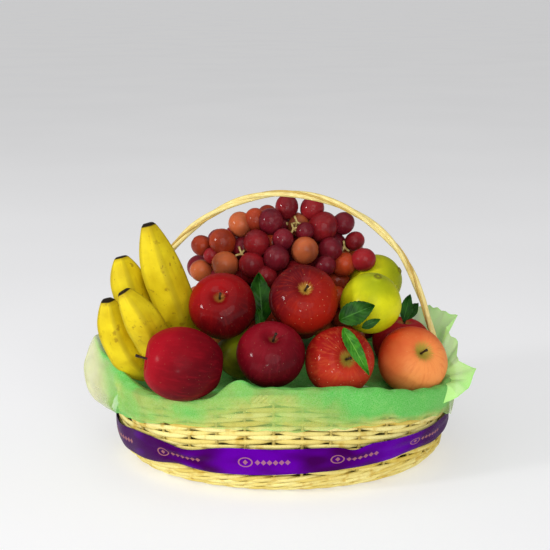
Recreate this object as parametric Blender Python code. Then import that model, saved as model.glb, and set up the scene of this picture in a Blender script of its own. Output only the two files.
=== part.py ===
"""An oval wicker basket of fruit: a hoop handle, a tulle liner, a satin band, and the fruit.

Metres, +Z up. The origin is the middle of the basket's underside and the front faces -Y.
"""

import math

import bmesh
import bpy
import numpy as np
from mathutils import Matrix, Vector

# Woven bowl: half length, half depth, height at the front, how far the rim sags at the ends, how far
# the wall leans in from rim to foot, and how much more, and how high up, its foot is rounded
HALF_LENGTH = 0.170
HALF_DEPTH = 0.132
RIM_HEIGHT = 0.103
END_SAG = 0.022
FLARE = 0.006
FOOT_INSET = 0.018
FOOT_ROUND = 0.045
WALL = 0.006
FLOOR = 0.006
STAKES = 40
BAND = 0.0094
WEAVE_LOW = 0.004
WEAVE_BELOW_RIM = 0.009
WEAVE_RELIEF = 0.0010
BORDER_BULGE = 0.0018

# Hoop handle: an arch on straight legs that run down inside the wall
HOOP_CENTRE = 0.0025
HOOP_HALF = 0.1422
HOOP_RISE = 0.146
HOOP_SPRING = 0.118
HOOP_LEAVES = math.radians(23)
LEG_X = 0.1562
LEG_LEAN = 0.0024
LEG_MEETS_WALL = 0.107
LEG_FOOT = 0.038
CANE = 0.0042
CANE_TWISTS = 9

# Satin band round the bowl: its edges' heights at the front, how much the lower one slopes up to the
# right, and how much the upper one drops at the left
RIBBON_LOW = 0.0250
RIBBON_HIGH = 0.0508
RIBBON_SLOPE = 0.0070
RIBBON_LEFT_DROP = 0.0085
RIBBON_THICK = 0.0010
RIBBON_CLEAR = 0.0023

# Liner: the bed that the fruit lies on, and the collar folded over the rim
BED_HEIGHT = 0.080
BED_CROWN = 0.012
CROWN_MIDDLE = (0.000, 0.050)
CROWN_HALF = (0.130, 0.072)
COLLAR_THICK = 0.0022
COLLAR_CLEAR = 0.0026
COLLAR_STANDS = 0.0060
HEM_FRONT = 0.069
HEM_END = 0.055
HEM_RIPPLE = 0.0025

# Where the collar stands high or reaches out: angle in degrees, amount, width in degrees
COLLAR_RISES = (
    (186, 0.034, 22), (90, 0.010, 50), (38, 0.040, 20), (13, 0.036, 8), (0, 0.018, 5), (-12, 0.012, 6),
)
COLLAR_REACHES = ((188, 0.026, 16), (13, 0.014, 6), (0, 0.006, 5), (-13, 0.026, 7))

# Neighbouring solids keep this gap
GAP = 0.0008

# Fruit is placed as it is seen from the front: across and up in millimetres at the middle of the
# basket, and depth in millimetres behind the middle, from an eye this far away and this much above level
EYE_DISTANCE = 1.2
EYE_DROP = math.radians(22)
ACROSS = Vector((1, 0, 0))
UP = Vector((0, math.sin(EYE_DROP), math.cos(EYE_DROP)))
AWAY = Vector((0, math.cos(EYE_DROP), -math.sin(EYE_DROP)))

# name: across, up, depth, radius, the stem's direction as across, up, towards the eye, and how squat
APPLES = {
    "apple_front_left": ((-103.5, 86.5, -150), 35.0, (-0.97, 0.10, 0.20), 1.14),
    "apple_upper_left": ((-62.5, 146.0, -115), 33.0, (-0.10, 0.29, 0.95), 0.90),
    "apple_top": ((22.0, 153.3, -103), 34.6, (0.08, 0.33, 0.94), 0.92),
    "apple_front_middle": ((-11.5, 95.5, -132), 33.2, (0.10, 0.60, 0.79), 0.90),
    "apple_front_right": ((59.8, 88.2, -120), 33.6, (0.28, 0.05, 0.96), 0.90),
    "apple_right": ((135.4, 89.2, -76), 35.4, (0.36, 0.30, 0.88), 0.88),
    "apple_behind_right": ((125.0, 108.1, -12), 31.0, (0.10, 0.90, 0.40), 0.90),
}
# Apple, as shares of its half height and radius: taper below, and each hollow's depth and width
APPLE_TAPER = 0.10
STEM_HOLLOW = (0.40, 0.30)
EYE_HOLLOW = (0.24, 0.28)
STEM_LENGTH = 0.016
STEM_RADIUS = 0.0012

# name: across, up, depth, radius, and the crown's direction as across, up, towards the eye
GUAVAS = {
    "guava_right": ((93.4, 150.1, -90), 29.4, (0.17, 0.73, 0.66)),
    "guava_behind": ((98.7, 173.8, -20), 27.0, (0.81, 0.30, 0.50)),
}
GUAVA_BELOW = (Vector((-0.040, -0.035, 0.112)), 24.5, (0.2, 0.3, 0.9))

# name: where the axis runs, tip first and stalk last, and the greatest radius
BANANAS = {
    "banana_1": (((-0.1286, -0.035, 0.2420), (-0.1190, -0.036, 0.204), (-0.1055, -0.031, 0.162),
                  (-0.0965, -0.030, 0.130), (-0.0970, -0.038, 0.096)), 0.0198),
    "banana_2": (((-0.1570, -0.024, 0.207), (-0.1520, -0.026, 0.187), (-0.1460, -0.028, 0.165),
                  (-0.1350, -0.028, 0.129), (-0.1200, -0.036, 0.092)), 0.0172),
    "banana_3": (((-0.1480, -0.080, 0.187), (-0.1335, -0.080, 0.163), (-0.1245, -0.067, 0.140),
                  (-0.1160, -0.060, 0.117), (-0.1080, -0.056, 0.093)), 0.0175),
    "banana_4": (((-0.1660, -0.058, 0.173), (-0.1620, -0.056, 0.148), (-0.1530, -0.052, 0.122),
                  (-0.1420, -0.050, 0.104), (-0.1260, -0.048, 0.090)), 0.0165),
}

BANANA_TIP = 0.0058
BANANA_STALK = 0.0046
BANANA_RIDGE = 0.045

# Grapes that show from the front: across, up, radius
GRAPES_SEEN = (
    (5, 253, 12.2), (-12, 237, 13.1), (-28, 239, 11.6), (-44, 234, 12.6), (-63, 215, 13.6),
    (-85, 211, 10.8), (-74, 200, 8.6), (-60, 191, 13.6), (-85, 184, 11.6), (-27, 214, 13.6),
    (1, 218, 11.0), (-32, 191, 13.1), (-6, 198, 13.6), (-17, 178, 11.6), (32, 251, 12.6),
    (43, 231, 15.6), (65, 235, 11.6), (77, 216, 10.0), (24, 206, 14.1), (51, 207, 12.6),
    (46, 190, 10.6), (65, 191, 12.6), (86, 196, 12.2), (20, 230, 10.6),
)
HEAP_MIDDLE = Vector((-0.002, 0.056, 0.150))
HEAP_HALF = (0.088, 0.040, 0.084)
GRAPE_RADIUS = 0.0130
GRAPES_BEHIND = 96
GRAPES_FOOT = 0.058
CORE_SHARE = 0.95
CORE_FOOT = 0.056

# Leaves: name, base and tip as across, up, depth, then greatest width and curl
LEAVES = {
    "leaf_big": ((60, 132, -124), (97, 147.5, -124), 0.022, 0.10),
    "leaf_small": ((84, 124, -126), (103, 133, -126), 0.008, 0.05),
    "leaf_long": ((64, 123, -142), (91, 74, -152), 0.013, 0.12),
    "leaf_between": ((-20, 130, -72), (-25, 181, -66), 0.024, 0.08),
    "leaf_low": ((-22, 121, -94), (-25, 144, -88), 0.009, 0.08),
    "leaf_spiky_tall": ((127, 130, -66), (134, 158, -52), 0.012, 0.10),
    "leaf_spiky_side": ((130, 132, -60), (142, 149, -46), 0.010, 0.14),
}
LEAF_THICK = 0.0012


def clear_scene():
    for old in list(bpy.data.objects):
        bpy.data.objects.remove(old)


def linear(hex_colour):
    """An sRGB hex colour as the linear numbers that a material takes."""
    parts = [int(hex_colour[i : i + 2], 16) / 255 for i in (1, 3, 5)]
    return tuple(c / 12.92 if c <= 0.04045 else ((c + 0.055) / 1.055) ** 2.4 for c in parts) + (1.0,)


def finish(name, hex_colour, roughness):
    made = bpy.data.materials.new(name)
    made.use_nodes = True
    shader = made.node_tree.nodes["Principled BSDF"]
    shader.inputs["Base Color"].default_value = linear(hex_colour)
    shader.inputs["Roughness"].default_value = roughness
    shader.inputs["Metallic"].default_value = 0.0
    return made


def solid(name, points, faces, material, creased=True):
    """One closed mesh as a named object, shaded smooth except, if creased, at its sharp edges."""
    mesh = bpy.data.meshes.new(name)
    mesh.from_pydata([tuple(p) for p in points], [], [tuple(f) for f in faces])
    mesh.materials.append(material)
    mesh.shade_smooth()
    if creased:
        mesh.set_sharp_from_angle(angle=math.radians(50))
    made = bpy.data.objects.new(name, mesh)
    bpy.context.scene.collection.objects.link(made)
    return made


def ring_faces(rows, columns, start=0):
    """Quads between neighbouring rows of a grid whose columns close on themselves."""
    faces = []
    for row in range(rows - 1):
        for column in range(columns):
            after = (column + 1) % columns
            low, high = start + row * columns, start + (row + 1) * columns
            faces.append((low + column, low + after, high + after, high + column))
    return faces


def lathe(outline, sides):
    """A closed turned mesh. The outline runs from the top pole to the bottom pole, both on the axis."""
    angles = np.arange(sides) * 2 * math.pi / sides
    points = [(0, 0, outline[0][1])]
    for radius, height in outline[1:-1]:
        points += [(radius * math.cos(a), radius * math.sin(a), height) for a in angles]
    points.append((0, 0, outline[-1][1]))
    rows = len(outline) - 2
    faces = [tuple(reversed(face)) for face in ring_faces(rows, sides, start=1)]
    last = len(points) - 1
    base = 1 + (rows - 1) * sides
    for side in range(sides):
        after = (side + 1) % sides
        faces.append((0, 1 + side, 1 + after))
        faces.append((last, base + after, base + side))
    return points, faces


def smooth_path(points, count):
    """Points spread evenly in parameter along a Catmull-Rom curve through the given points."""
    given = np.array(points, float)
    ends = np.vstack([2 * given[0] - given[1], given, 2 * given[-1] - given[-2]])
    made = []
    for t in np.linspace(0, len(given) - 1, count):
        i = min(int(t), len(given) - 2)
        f = t - i
        a, b, c, d = ends[i : i + 4]
        made.append(0.5 * (2 * b + (c - a) * f + (2 * a - 5 * b + 4 * c - d) * f**2
                           + (3 * b - a - 3 * c + d) * f**3))
    return np.array(made)


def tube(path, section):
    """A capped tube along a path. section(i) gives the ring of (side, over) offsets at point i."""
    tangents = np.gradient(path, axis=0)
    tangents /= np.linalg.norm(tangents, axis=1)[:, None]
    side = np.cross(tangents[0], (0.0, 1.0, 0.0))
    if np.linalg.norm(side) < 0.1:
        side = np.cross(tangents[0], (0.0, 0.0, 1.0))
    points = []
    for i, (middle, along) in enumerate(zip(path, tangents)):
        side = side - along * side.dot(along)
        side /= np.linalg.norm(side)
        over = np.cross(along, side)
        ring = section(i)
        points += [middle + side * s + over * o for s, o in ring]
    count = len(ring)
    faces = ring_faces(len(path), count)
    faces.append(tuple(reversed(range(count))))
    faces.append(tuple(range(len(points) - count, len(points))))
    return points, faces


def seen(across, up, depth):
    """The place that shows at across, up from the eye, at this depth; all in millimetres."""
    nearness = 1 + depth / 1000 / EYE_DISTANCE
    flat = ACROSS * across + UP * up
    return flat * nearness / 1000 + AWAY * depth / 1000


def pointing(direction):
    """A world direction from one given as across, up, towards the eye."""
    across, up, towards = direction
    return (ACROSS * across + UP * up - AWAY * towards).normalized()


def apply_boolean(piece, others, operation):
    """Join or cut the piece with every mesh in others, then remove them."""
    group = bpy.data.collections.new("others")
    for other in others:
        group.objects.link(other)
    step = piece.modifiers.new("boolean", "BOOLEAN")
    step.operation = operation
    step.operand_type = "COLLECTION"
    step.collection = group
    step.solver = "EXACT"
    step.use_self = True
    bpy.context.view_layer.update()
    made = bpy.data.meshes.new_from_object(piece.evaluated_get(bpy.context.evaluated_depsgraph_get()))
    piece.modifiers.clear()
    old = piece.data
    piece.data = made
    bpy.data.meshes.remove(old)
    for other in others:
        bpy.data.objects.remove(other)
    bpy.data.collections.remove(group)


def grown_copy(piece, gap=GAP):
    """A copy of a placed piece, in world space, with every point moved out by the gap."""
    copy = piece.copy()
    copy.data = piece.data.copy()
    copy.data.transform(piece.matrix_world)
    copy.matrix_world = Matrix()
    moved = [vertex.co + vertex.normal * gap for vertex in copy.data.vertices]
    for vertex, place in zip(copy.data.vertices, moved):
        vertex.co = place
    bpy.context.scene.collection.objects.link(copy)
    return copy


def make_room(piece, neighbours):
    """Cut the neighbours out of the piece with a small gap round each."""
    bpy.context.view_layer.update()
    apply_boolean(piece, [grown_copy(neighbour) for neighbour in neighbours], "DIFFERENCE")


def in_triangles(piece, method):
    """Split every face of the piece into triangles, so that no face is bent."""
    shape = bmesh.new()
    shape.from_mesh(piece.data)
    bmesh.ops.triangulate(shape, faces=shape.faces, ngon_method=method)
    shape.to_mesh(piece.data)
    shape.free()


def drop_scraps(piece):
    """Keep only the largest connected part of a mesh that cutting may have split."""
    shape = bmesh.new()
    shape.from_mesh(piece.data)
    left, parts = set(shape.verts), []
    while left:
        part, edge = set(), {left.pop()}
        while edge:
            part |= edge
            edge = {e.other_vert(v) for v in edge for e in v.link_edges} - part
        left -= part
        parts.append(part)
    parts.sort(key=len)
    bmesh.ops.delete(shape, geom=[v for part in parts[:-1] for v in part], context="VERTS")
    shape.to_mesh(piece.data)
    shape.free()


def inset_at(height):
    """How far the bowl's wall draws in: it leans in evenly from the rim, and rounds in at its foot."""
    height = np.asarray(height, float)
    low = np.clip(1 - height / FOOT_ROUND, 0, 1)
    return FOOT_INSET * low**3.7 + FLARE * np.clip(1 - height / RIM_HEIGHT, 0, 1)


def rim_at(angle):
    """The rim's height, which sags towards the two ends."""
    return RIM_HEIGHT - END_SAG * 0.5 * (1 - np.cos(math.pi * np.cos(angle)))


def wall_point(angle, height, out=0.0):
    """A place on the bowl's outer wall, moved outwards by out."""
    draw = inset_at(height) - out
    return ((HALF_LENGTH - draw) * math.cos(angle), (HALF_DEPTH - draw) * math.sin(angle), height)


def basket(material):
    """The woven bowl: bands of two courses that pass over and under the stakes, a border and a flat foot."""
    angles = np.arange(STAKES) * 2 * math.pi / STAKES
    bands = int(round((RIM_HEIGHT - 0.012) / BAND))
    rows = [[(p[0], p[1], 0.0) for p in (wall_point(a, 0.0) for a in angles)]]
    levels = np.linspace(WEAVE_LOW, RIM_HEIGHT - WEAVE_BELOW_RIM, 2 * bands)
    for level_index, level in enumerate(levels):
        band, crest = divmod(level_index, 2)
        row = []
        for stake, angle in enumerate(angles):
            over = 1 if (stake + band) % 2 else -1
            relief = WEAVE_RELIEF * over if crest else -0.6 * WEAVE_RELIEF
            height = level * rim_at(angle) / RIM_HEIGHT
            row.append(wall_point(angle, height, relief))
        rows.append(row)
    border = ((-0.006, BORDER_BULGE), (-0.0015, BORDER_BULGE), (0.0, 0.0), (0.0, -WALL + 0.001),
              (-0.004, -WALL))
    for below, out in border:
        rows.append([wall_point(a, rim_at(a) + below, out) for a in angles])
    for level in (0.040, 0.014):
        rows.append([wall_point(a, level * rim_at(a) / RIM_HEIGHT, -WALL) for a in angles])
    rows.append([wall_point(a, FLOOR, -WALL - 0.002) for a in angles])
    points = [p for row in rows for p in row]
    faces = ring_faces(len(rows), STAKES)
    points += [(0, 0, 0), (0, 0, FLOOR)]
    under, floor = len(points) - 2, len(points) - 1
    last = (len(rows) - 1) * STAKES
    for stake in range(STAKES):
        after = (stake + 1) % STAKES
        faces.append((under, after, stake))
        faces.append((floor, last + stake, last + after))
    return solid("basket", points, faces, material)


def hoop_path():
    """Up one leg inside the wall, over the arch, and down the other leg."""
    rise = np.linspace(HOOP_LEAVES, math.pi - HOOP_LEAVES, 27)
    arch = np.c_[HOOP_HALF * np.cos(rise), HOOP_SPRING + HOOP_RISE * np.sin(rise)]
    leg = smooth_path([(LEG_X - LEG_LEAN, LEG_FOOT), (LEG_X - 0.5 * LEG_LEAN, 0.070), (LEG_X, 0.092),
                       (LEG_X - 0.0008, LEG_MEETS_WALL), (0.1445, 0.141), tuple(arch[0])], 11)[:-1]
    flat = np.vstack([leg, arch, leg[::-1] * (-1, 1)])
    lean = HOOP_CENTRE * np.clip((flat[:, 1] - LEG_MEETS_WALL) / 0.05, 0, 1)
    return np.c_[flat[:, 0] + lean, np.zeros(len(flat)), flat[:, 1]]


def handle(material):
    """Two canes wound round each other, drawn as one flattened section that turns along the hoop."""
    path = hoop_path()
    steps = np.linalg.norm(np.diff(path, axis=0), axis=1)
    along = np.r_[0, np.cumsum(steps)] / steps.sum()
    around = np.arange(7) * 2 * math.pi / 7

    def section(i):
        turn = CANE_TWISTS * math.pi * along[i]
        ring = np.c_[1.10 * CANE * np.cos(around), 0.86 * CANE * np.sin(around)]
        cos, sin = math.cos(turn), math.sin(turn)
        return ring @ np.array([[cos, sin], [-sin, cos]])

    points, faces = tube(path, section)
    return solid("handle", points, faces, material)


def ribbon(material):
    """A flat satin band round the bowl, which slopes up to the right and is narrowest there."""
    count = 52
    angles = np.arange(count) * 2 * math.pi / count
    low = RIBBON_LOW + RIBBON_SLOPE * np.cos(angles)
    high = RIBBON_HIGH - RIBBON_LEFT_DROP * np.clip(-np.cos(angles), 0, 1) ** 2
    edges = ((low, 0.0), (low, RIBBON_THICK), (high, RIBBON_THICK), (high, 0.0))
    points = []
    for heights, thick in edges:
        points += [wall_point(angle, height, RIBBON_CLEAR + thick) for angle, height in zip(angles, heights)]
    faces = ring_faces(len(edges), count)
    last = (len(edges) - 1) * count
    for i in range(count):
        after = (i + 1) % count
        faces.append((last + i, last + after, after, i))
    return solid("ribbon", points, faces, material)


def hills(angle, places):
    """The sum of smooth hills that wrap round the basket, each given as angle, height and width."""
    total = 0.0
    for middle, height, width in places:
        away = (math.degrees(angle) - middle + 180) % 360 - 180
        total += height * math.exp(-((away / width) ** 2))
    return total


def collar_rise(angle):
    """How far the collar's fold stands above the rim."""
    ripple = 0.0015 * math.cos(9 * angle) + 0.0012 * math.cos(14 * angle + 1)
    return COLLAR_STANDS + ripple + hills(angle, COLLAR_RISES)


def collar_reach(angle):
    """How far the collar stands out from the wall."""
    ripple = 0.0012 * (1 + math.cos(13 * angle))
    return 0.0006 + ripple + hills(angle, COLLAR_REACHES)


def hem_at(angle):
    """The height of the collar's lower edge outside the wall."""
    ends = np.cos(angle) ** 6
    return HEM_FRONT + (HEM_END - HEM_FRONT) * ends + HEM_RIPPLE * np.cos(3 * angle + 0.6)


def bed_at(x, y):
    """The liner's top surface: low where the front row sits, and raised under the heap of grapes."""
    away = ((x - CROWN_MIDDLE[0]) / CROWN_HALF[0]) ** 4 + ((y - CROWN_MIDDLE[1]) / CROWN_HALF[1]) ** 4
    return BED_HEIGHT + BED_CROWN * math.exp(-away)


def liner(material):
    """The tulle: a bed that fills the bowl below the fruit, and a collar folded over the rim."""
    count = 50
    even = np.arange(count) * 2 * math.pi / count
    angles = even - 0.20 * np.sin(2 * even)
    inner = -WALL - GAP - 0.0006
    rows = [[] for _ in range(16)]
    for angle in angles:
        rim, rise, reach, hem = rim_at(angle), collar_rise(angle), collar_reach(angle), hem_at(angle)
        top = rim + rise
        outer = COLLAR_CLEAR + COLLAR_THICK
        right = 0.5 + 0.5 * math.cos(angle)
        around = (
            (FLOOR + GAP + 0.002, inner - 0.004),
            (0.022, inner - 0.0018),
            (0.045, inner),
            (rim - 0.006, inner),
            (rim + GAP + 0.0004, inner + 0.0012),
            (rim + GAP + 0.0004, 0.0006),
            (rim - 0.0015, COLLAR_CLEAR + 0.0006),
            (0.5 * (rim + hem), COLLAR_CLEAR + 0.0004),
            (hem, COLLAR_CLEAR),
            (hem + 0.0004, outer + 0.12 * reach),
            (0.6 * hem + 0.4 * rim, outer + 0.75 * reach),
            (rim + 0.40 * rise, outer + (1.0 - 0.2 * right) * reach),
            (top, 0.25 * outer + (0.72 + 0.23 * right) * reach),
            (top - 0.0012, -0.004 + (0.60 + 0.23 * right) * reach),
            (rim + 0.1 * rise, inner - 0.0034),
        )
        for row, (height, out) in zip(rows, around):
            row.append(wall_point(angle, height, out))
        edge = wall_point(angle, BED_HEIGHT, inner - 0.0052)
        rows[15].append((edge[0], edge[1], bed_at(edge[0], edge[1])))
    for share in (0.72, 0.40):
        row = [(p[0] * share, p[1] * share) for p in rows[15]]
        rows.append([(x, y, bed_at(x, y)) for x, y in row])
    points = [p for row in rows for p in row]
    faces = ring_faces(len(rows), count)
    points += [(0, 0, FLOOR + GAP), (0, 0, bed_at(0, 0))]
    under, crown = len(points) - 2, len(points) - 1
    last = (len(rows) - 1) * count
    for i in range(count):
        after = (i + 1) % count
        faces.append((under, after, i))
        faces.append((crown, last + i, last + after))
    return solid("liner", points, faces, material)


def place(piece, middle, direction):
    """Put the piece's origin at the middle, with its +Z along the direction."""
    piece.location = middle
    piece.rotation_euler = Vector((0, 0, 1)).rotation_difference(direction).to_euler()


def apple(name, middle, radius, direction, squat, material):
    """A turned apple: squat, narrower below, hollow at both ends, with its stem fused in."""
    radius /= 1000
    half = squat * radius
    outline = []
    for turn in np.linspace(0, math.pi, 11):
        out = radius * math.sin(turn) * (1 - APPLE_TAPER * (0.5 - 0.5 * math.cos(turn)) ** 2)
        height = half * math.cos(turn)
        deep, wide = STEM_HOLLOW if turn < math.pi / 2 else EYE_HOLLOW
        height -= math.copysign(deep * half * math.exp(-((out / (wide * radius)) ** 2)), height)
        outline.append((out, height))
    points, faces = lathe(outline, 13)
    made = solid(name, points, faces, material)
    foot = outline[0][1] - 0.003
    bend = ((0, 0, foot), (0.0004, 0, foot + 0.5 * STEM_LENGTH), (0.0022, 0, foot + STEM_LENGTH))
    ring = np.arange(5) * 2 * math.pi / 5
    section = STEM_RADIUS * np.c_[np.cos(ring), np.sin(ring)]
    stem_points, stem_faces = tube(smooth_path(bend, 3), lambda i: section)
    stem = solid(name + "_stem", stem_points, stem_faces, material)
    apply_boolean(made, [stem], "UNION")
    place(made, middle, direction)
    return made


def guava(name, middle, radius, direction, material):
    """A turned guava, a little pear-shaped, ending in a small raised calyx."""
    radius /= 1000
    outline = [(0, 1.06 * radius), (0.13 * radius, 1.12 * radius), (0.17 * radius, 1.02 * radius)]
    for turn in np.linspace(0.32, math.pi - 0.32, 7):
        out = radius * math.sin(turn)
        height = 1.02 * radius * math.cos(turn)
        outline.append((out, height))
    outline.append((0, -1.0 * radius))
    points, faces = lathe(outline, 13)
    made = solid(name, points, faces, material)
    place(made, middle, direction)
    return made


def banana(name, places, radius, material):
    """A five-sided banana along its axis, thick in the middle, with a blunt tip and a thin stalk."""
    path = smooth_path(places, 12)
    share = np.linspace(0, 1, len(path))
    swell = np.sin(np.minimum(share / 0.36, 1) * math.pi / 2) ** 0.85
    neck = np.clip((1 - share) / 0.42, 0, 1) ** 0.5
    thick = np.maximum((BANANA_TIP + (radius - BANANA_TIP) * swell) * neck, BANANA_STALK)
    around = np.arange(10) * 2 * math.pi / 10
    ridge = 1 + BANANA_RIDGE * np.cos(5 * around)

    def section(i):
        return np.c_[np.cos(around), np.sin(around)] * (thick[i] * ridge)[:, None]

    points, faces = tube(path, section)
    return solid(name, points, faces, material)


def heap_place(across, up):
    """Where the line of sight at across, up meets the heap, or passes nearest to it."""
    eye = seen(0, 0, 0) - AWAY * EYE_DISTANCE
    ray = (seen(across, up, 0) - eye).normalized()
    half = np.array(HEAP_HALF)
    start = np.array(eye - HEAP_MIDDLE) / half
    step = np.array(ray) / half
    a, b, c = step @ step, 2 * start @ step, start @ start - 1
    inside = max(b * b - 4 * a * c, 0)
    return eye + ray * float((-b - math.sqrt(inside)) / (2 * a))


def grape_mesh(middle, radius, sides, rings, spin):
    """A few-sided grape, slightly long, turned by spin so that neighbours differ."""
    turns = np.linspace(0, math.pi, rings + 1)
    outline = [(radius * math.sin(t), 1.08 * radius * math.cos(t)) for t in turns]
    points, faces = lathe(outline, sides)
    turn = Matrix.Rotation(spin, 3, "X") @ Matrix.Rotation(2 * spin, 3, "Z")
    return [turn @ Vector(p) + middle for p in points], faces


def grape_places():
    """Middle and radius of every grape: those seen from the front, then the rest of the heap."""
    made = [(heap_place(a, u), r / 1000) for a, u, r in GRAPES_SEEN]
    draw = np.random.default_rng(7)
    golden = math.pi * (3 - math.sqrt(5))
    for i in range(GRAPES_BEHIND):
        height = 1 - (i + 0.5) / GRAPES_BEHIND * 1.75
        out = math.sqrt(max(1 - max(height, 0) ** 2, 0))
        angle = golden * i
        radius = GRAPE_RADIUS * draw.uniform(0.86, 1.10)
        long, deep, high = HEAP_HALF
        tall = high if height > 0 else GRAPES_FOOT
        step = Vector((long * out * math.cos(angle), deep * out * math.sin(angle), tall * height))
        middle = HEAP_MIDDLE + step
        near = min((middle - other).length - 0.80 * (radius + size) for other, size in made)
        if near > 0:
            made.append((middle, radius))
    return made


def grapes(material):
    """One heap: a core down to the liner, with every grape that shows fused on."""
    outline = [(0, 1.0)]
    for turn in np.linspace(0.35, math.pi / 2, 5):
        outline.append((math.sin(turn), math.cos(turn)))
    outline += [(1.0, -1.0), (0, -1.0)]
    points, faces = lathe(outline, 12)
    half = Vector(HEAP_HALF) * CORE_SHARE
    core = []
    for x, y, z in points:
        tall = half.z if z > 0 else CORE_FOOT
        core.append(HEAP_MIDDLE + Vector((half.x * x, half.y * y, tall * z)))
    made = solid("grapes", core, faces, material, creased=False)
    berries = []
    for i, (middle, radius) in enumerate(grape_places()):
        front = i < len(GRAPES_SEEN)
        berry_points, berry_faces = grape_mesh(middle, radius, 7 if front else 5, 4 if front else 3, 0.7 * i)
        berries.append(solid("grape", berry_points, berry_faces, material, creased=False))
    apply_boolean(made, berries, "UNION")
    return made


def leaf(name, base, tip, width, curl, material):
    """A pointed leaf from base to tip: a thin solid, folded along its midrib and waved at its edges."""
    start, end = seen(*base), seen(*tip)
    along = end - start
    across = along.cross(AWAY).normalized()
    face = across.cross(along).normalized()
    rows = 7
    points = []
    for layer in (0.5, -0.5):
        for row in range(rows):
            share = row / (rows - 1)
            half = 0.5 * width * (math.sin(math.pi * share**0.75) ** 0.9 + 0.07)
            bow = curl * along.length * math.sin(math.pi * share)
            for side in (-1, 0, 1):
                fold = (0.16 + 0.10 * math.sin(9 * share + side)) * width * abs(side)
                place_on = start + along * share + across * (side * half)
                points.append(place_on - face * (bow + fold - layer * LEAF_THICK))
    per_layer = rows * 3
    faces = []
    for row in range(rows - 1):
        for side in (0, 1):
            a = row * 3 + side
            b, c, d = a + 1, a + 4, a + 3
            faces += [(a, b, c), (a, c, d)]
            e, f, g, h = per_layer + a, per_layer + b, per_layer + c, per_layer + d
            faces += [(e, g, f), (e, h, g)]
    rim = [0, 1] + [2 + 3 * r for r in range(rows)] + [rows * 3 - 2, rows * 3 - 3]
    rim += [3 * r for r in range(rows - 2, 0, -1)]
    for here, after in zip(rim, rim[1:] + rim[:1]):
        faces.append((after, here, per_layer + here, per_layer + after))
    return solid(name, points, faces, material)


def build():
    clear_scene()
    wicker = finish("wicker", "#E3CF7C", 0.62)
    cane = finish("cane", "#DCC26A", 0.50)
    tulle = finish("tulle", "#8FD47A", 0.70)
    satin = finish("satin", "#4B0070", 0.32)
    apple_skin = finish("apple_skin", "#8E0F1E", 0.28)
    guava_skin = finish("guava_skin", "#AFC22E", 0.40)
    banana_skin = finish("banana_skin", "#E8CF1C", 0.48)
    grape_skin = finish("grape_skin", "#7A1A34", 0.30)
    leaf_green = finish("leaf_green", "#2E6B1E", 0.45)

    basket(wicker)
    hoop = handle(cane)
    ribbon(satin)
    bed = liner(tulle)

    apples = [
        apple(name, seen(*at), radius, pointing(way), squat, apple_skin)
        for name, (at, radius, way, squat) in APPLES.items()
    ]
    guavas = [
        guava(name, seen(*at), radius, pointing(way), guava_skin)
        for name, (at, radius, way) in GUAVAS.items()
    ]
    low_middle, low_radius, low_way = GUAVA_BELOW
    guavas.append(guava("guava_below", low_middle, low_radius, pointing(low_way), guava_skin))
    bananas = [banana(name, places, radius, banana_skin) for name, (places, radius) in BANANAS.items()]
    for name, (base, tip, width, curl) in LEAVES.items():
        leaf(name, base, tip, width, curl, leaf_green)

    heap = grapes(grape_skin)
    make_room(heap, apples + guavas + bananas + [hoop])
    drop_scraps(heap)
    in_triangles(bed, "BEAUTY")
    make_room(bed, apples + guavas + bananas + [hoop])
    drop_scraps(bed)
    in_triangles(bed, "EAR_CLIP")


build()
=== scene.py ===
"""Looks for an oval wicker basket of fruit: woven wall, twisted handle, tulle, satin band and the fruit.

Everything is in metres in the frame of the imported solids, so each piece is worked out where its solid is.
"""

import math

import bpy
import numpy as np
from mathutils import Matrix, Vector


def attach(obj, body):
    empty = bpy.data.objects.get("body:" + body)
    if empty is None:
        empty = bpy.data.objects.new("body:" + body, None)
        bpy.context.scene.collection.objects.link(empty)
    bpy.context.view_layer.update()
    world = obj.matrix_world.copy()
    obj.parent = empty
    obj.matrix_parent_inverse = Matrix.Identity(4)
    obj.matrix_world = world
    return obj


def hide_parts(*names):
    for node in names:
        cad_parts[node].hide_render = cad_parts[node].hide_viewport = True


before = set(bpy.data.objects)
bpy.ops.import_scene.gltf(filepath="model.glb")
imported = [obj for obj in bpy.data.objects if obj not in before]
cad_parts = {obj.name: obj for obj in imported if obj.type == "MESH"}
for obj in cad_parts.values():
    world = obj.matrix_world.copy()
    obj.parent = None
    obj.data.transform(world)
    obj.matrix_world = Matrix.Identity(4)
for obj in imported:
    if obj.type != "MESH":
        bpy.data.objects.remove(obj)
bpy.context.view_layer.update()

PI = math.pi

# Woven bowl, as in the part's source
HALF_LENGTH = 0.170
HALF_DEPTH = 0.132
RIM_HEIGHT = 0.103
END_SAG = 0.022
FLARE = 0.006
FOOT_INSET = 0.018
FOOT_ROUND = 0.045

# Weave: upright stakes, closer together at the front and back than at the ends, and the courses round
# them: where a course lies between stakes, how far it rides out over one and dives in behind the next
STAKES = 32
STAKE_CROWDING = 0.095
FIRST_STAKE = math.radians(8.0)
STAKE_RADIUS = 0.0015
STAKE_FOOT = 0.004
COURSE_PITCH = 0.0047
COURSE_HALF_HIGH = 0.0024
COURSE_HALF_THICK = 0.0014
WEAVE_MIDDLE = -0.0026
WEAVE_REST = 0.0002
WEAVE_OVER = 0.0010
WEAVE_UNDER = -0.0026
ROD_SIDES = 8

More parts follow.
